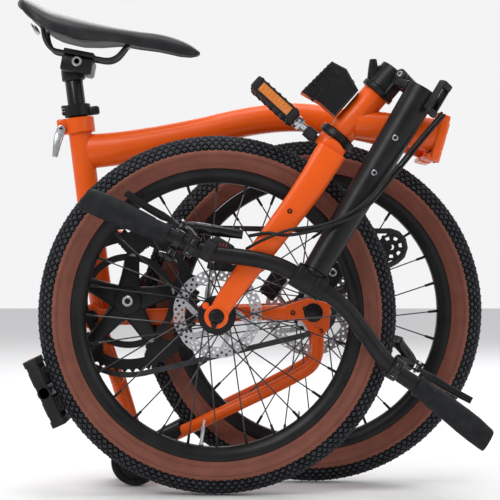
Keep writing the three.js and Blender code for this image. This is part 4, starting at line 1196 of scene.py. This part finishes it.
def handlepost_base():
    shape = Shape()
    ring = [(14.8, 0), (24.4, 0), (25, 0.8), (25, 7), (24, 8), (14.8, 8)]
    shape.turned(on_head(87), ring, 72, axis=HEAD_DIR)
    shape.turned(on_head(95.2), band(14.8, 22, 34.2), 72, axis=HEAD_DIR)
    stem_block(shape, corner(119.5, 24), [17.4, 23, 17], 3)
    shape.bar(HINGE_AT - HINGE_DIR * 12, HINGE_AT + HINGE_DIR * 12, 8, 8, 32)
    stem_block(shape, corner(104, 19), [12, 20, 26], 3)
    shape.sweep([on_head(101, -17), on_head(112, -27), on_head(121, -35)], [(9, 9), (7, 8.6), (5, 8)],
                14, 24, power=3)
    stand_in("handlepost_base", "steering", shape, BLACK)
    pin = Shape()
    pin.bar(HINGE_AT - HINGE_DIR * 24, HINGE_AT + HINGE_DIR * 24, 3, 3, 20)
    pin.turned(on_head(129.4), [(12.6, 0), (14.6, 0), (14.6, 1.2), (12.6, 1.2)], 64, axis=HEAD_DIR)
    for up in (101, 117):
        pin.bolt(on_head(up, -21.4, 0), -HEAD_FRONT, 4.4, 2)
    piece("handlepost_pin", "steering", pin, [DARK])


def handlepost():
    shape = Shape()
    tube = [(130.8, 24.2), (134, 24.4), (141, 23.8), (150, 22.8), (240, 21.4), (340, 19.6), (405, 18.4),
            (427, 18.2)]
    shape.loft([circle(basis(on_head(up), HEAD_DIR, HEAD_FRONT), r, r, 64) for up, r in tube])
    for s in (-1, 1):
        shape.bar(HINGE_AT + HINGE_DIR * (s * 12.7), HINGE_AT + HINGE_DIR * (s * 22.9), 8.4, 8.4, 32)
        stem_block(shape, corner(STEM_FOOT + 7.4, 22, s * 17.8), [22, 10.2, 13.2], 3)
    stem_block(shape, corner(STEM_FOOT + 14, -24), [15.6, 9.8, 11.6], 3)
    stand_in("handlepost", "cockpit", shape, BLACK, FOLD)
    screws = Shape()
    outer = FOLD.to_3x3().inverted() @ -Y
    outer = (outer - HEAD_DIR * outer.dot(HEAD_DIR)).normalized()
    for up, r in ((213, 21.4), (270, 20.4)):
        screws.bolt(on_head(up) + outer * r, outer, 4.2, 1.4)
    for s in (-1, 1):
        screws.bolt(HINGE_AT + HINGE_DIR * (s * 22.9), HINGE_DIR * s, 4.6, 1.2)
    piece("handlepost_screws", "cockpit", screws, [STEEL], matrix=FOLD)
    latch = Shape()
    for s in (-1, 1):
        stem_block(latch, corner(STEM_FOOT + 4, -31, s * 7.6), [11, 3.9, 46], 1.4)
    latch.bar(corner(STEM_FOOT + 14, -27, -9.2), corner(STEM_FOOT + 14, -27, 9.2), 2.5, 2.5, 20)
    stem_block(latch, corner(STEM_FOOT - 16, -33), [10, 19, 10], 2)
    stem_block(latch, corner(STEM_FOOT + 26.5, -35), [8, 19, 10], 2)
    stand_in("handlepost_latch", "latch", latch, PLASTIC, FOLD)


def handlebar():
    shape = Shape()
    stops = [-320, -262, -204, -173, -142, -108, -74, -50, -30, 0, 30, 50, 74, 108, 142, 173, 204, 262, 320]
    shape.sweep([on_bar(left, rise(left)) for left in stops], 11.4, 120, 32, side=HEAD_FRONT)
    stand_in("handlebar", "cockpit", shape, BLACK, FOLD)
    clamp = Shape()
    clamp.turned(on_bar(-24), band(11.8, 18, 48, 1.4, 1.2), 64, axis=Y, side=HEAD_FRONT)
    clamp.bar(on_head(427.2), on_head(434), 15.8, 15.6, 48)
    for side in (-15, 15):
        bar_block(clamp, on_bar(side, 0, 17), [14, 12, 30], 3)
        bar_block(clamp, on_bar(side, 0, -16), [7, 12, 24], 3)
    stand_in("bar_clamp", "cockpit", clamp, BLACK, FOLD)
    bolts = Shape()
    for side in (-15, 15):
        for up in (-9, 9):
            bolts.bolt(on_bar(side, up, 23.6), HEAD_FRONT, 3.4, 1.6)
    piece("bar_clamp_bolts", "cockpit", bolts, [DARK], matrix=FOLD)


GRIP = [  # distance along the bar, drop, radius across the bar up and outwards
    (202, 0, 15.4, 15.4), (207, 0, 15.6, 15.6), (208.5, 0, 14.2, 14.2), (226, 0, 14.4, 14.4),
    (228, 0, 15.6, 15.2), (244, -0.6, 16.4, 15.4), (262, -1, 17.2, 15.2), (282, -1, 18.1, 14.6),
    (302, -1, 18.1, 14.2), (318, -0.6, 17, 13.8), (325, -0.4, 16.2, 13.4), (327, 0, 15.2, 12.6),
]


def grip(side, s):
    shape = Shape()
    rings = []
    for j, (a, b) in enumerate(zip(GRIP, GRIP[1:])):
        count = 14 if b[0] - a[0] > 10 else 2
        for k in range(count):
            f = k / count
            along, drop, up_r, out_r = (mix(p, q, f) for p, q in zip(a, b))
            groove = 0.35 * (k % 2) if 228 <= along < 318 else 0
            m = basis(on_grip(s, along, drop), Y * s, HEAD_FRONT)
            rings.append(circle(m, out_r - groove, up_r - groove, 48))
    last, _, up_r, out_r = GRIP[-1]
    rings.append(circle(basis(on_grip(s, last), Y * s, HEAD_FRONT), out_r, up_r, 48))
    shape.loft(rings)
    stand_in("grip_" + side, "cockpit", shape, GRIP_MAT, FOLD)


def brake_control(side, s):
    far = 112 if s < 0 else 148
    shape = Shape()
    shape.turned(on_grip(s, 158), band(11.9, 16.8, 14), 56, axis=Y * s, side=HEAD_FRONT)
    shape.sweep([on_grip(s, 163, -13, 14), on_grip(s, 176, -20, 26), on_grip(s, 186, -23, 30)],
                [(9, 8), (9.5, 8.5), (8, 7.4)], 16, 24, power=2.6)
    reservoir = [(187, -25, 28), (176, -30, 28), (150, -35, 25), (far, -36, 22)]
    shape.sweep([on_grip(s, *spot) for spot in reservoir],
                [(6, 6.4), (7.4, 7.6), (7.4, 7.8), (6, 6.2)], 24, 28, power=3.2)
    for up in (-19.6, -28.4):
        bar_block(shape, on_grip(s, 192, up, 32), [14, 15, 2.8], 1)
    shape.bar(on_grip(s, 165, 10, -12), on_grip(s, 165, -10, -14), 4, 4, 20)
    stand_in("brake_perch_" + side, "cockpit", shape, GLOSS, FOLD)
    trim = Shape()
    trim.bar(on_grip(s, 194, -33.4, 33), on_grip(s, 194, -15.6, 33), 2.4, 2.4, 16)
    trim.bolt(on_grip(s, 165, 10, -12), HEAD_DIR, 3, 1)
    trim.bar(on_grip(s, far + 6, -43.2, 22), on_grip(s, far + 6, -44.4, 22), 2.6, 2.6, 16, soft=0.2)
    piece("brake_trim_" + side, "cockpit", trim, [STEEL], matrix=FOLD)
    lever = Shape()
    blade = [(194, -24, 33), (206, -24, 36), (222, -25, 38), (250, -28, 37), (284, -34, 34)]
    lever.sweep([on_grip(s, *spot) for spot in blade],
                [(3, 3.4), (3, 3.4), (3.5, 6), (3.5, 5.5), (4, 5)], 44, 24, side=HEAD_DIR, power=2.8)
    name = "brake_lever_" + side
    stand_in(name, side + "_lever", lever, GLOSS, FOLD)


def shifter_and_bell():
    shape = Shape()
    shape.turned(on_grip(-1, 134), band(11.9, 16, 16), 56, axis=-Y, side=HEAD_FRONT)
    bar_block(shape, on_grip(-1, 128, -13.5, 14), [28, 33, 16], 4)
    bar_block(shape, on_grip(-1, 128, -13.5, -3.5), [9, 26, 14], 3)
    stand_in("shifter", "cockpit", shape, PLASTIC, FOLD)
    mark = Shape()
    for k in range(3):
        bar_block(mark, on_grip(-1, 124 + k * 4, -13.5, -8.2), [0.8, 0.9, 4], 0.2)
    piece("shifter_window", "cockpit", mark, [RED], matrix=FOLD)
    lever = Shape()
    lever.bar(on_grip(-1, 128, -0.7, 21), on_grip(-1, 128, 5.1, 21), 6, 6, 24)
    bar_block(lever, on_grip(-1, 132, 2.4, 36), [33.4, 11.6, 4.8], 1.6)
    stand_in("shifter_lever", "shift_lever", lever, PLASTIC, FOLD)
    bell = Shape()
    bell.turned(on_grip(-1, 180), band(11.9, 15.2, 10, 0.8), 56, axis=-Y, side=HEAD_FRONT)
    dome = [(16.5, 6), (22, 6.6), (24, 13), (26, 15.6), (28, 15), (30, 12), (30.9, 6.5)]
    bell.loft([circle(basis(on_grip(-1, 185, up), HEAD_DIR, HEAD_FRONT), r, r, 40) for up, r in dome])
    bell.bar(on_grip(-1, 185, 12.5), on_grip(-1, 185, 17), 6, 6, 24)
    stand_in("bell", "cockpit", bell, GLOSS, FOLD)


def hoses():
    shape = Shape()
    front = [on_grip(-1, 104, -35, 19), on_grip(-1, 84, -42, 6), on_grip(-1, 60, -44, -6),
             on_bar(-24, -70, -20), on_head(325, -24, 12), on_head(250, -14, 27), on_head(190, -4, 36),
             on_head(144, 4, 44)]
    shape.sweep(front, 2.5, 90, 12)
    beside = [on_grip(-1, 98, -14, 8), on_grip(-1, 84, -30, -6), on_grip(-1, 60, -52, -12),
              on_bar(-22, -78, -22), on_head(320, -27.5, 7), on_head(250, -19, 22), on_head(190, -10, 31),
              on_head(144, -2, 39)]
    shape.sweep(beside, 2.1, 90, 12)
    stand_in("brake_hose", "cockpit", shape, RUBBER, FOLD)


luggage_block()
handlepost_base()
handlepost()
handlebar()
for name, s in (("right", -1), ("left", 1)):
    grip(name, s)
    brake_control(name, s)
shifter_and_bell()
hoses()

bpy.context.view_layer.update()
low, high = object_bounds()
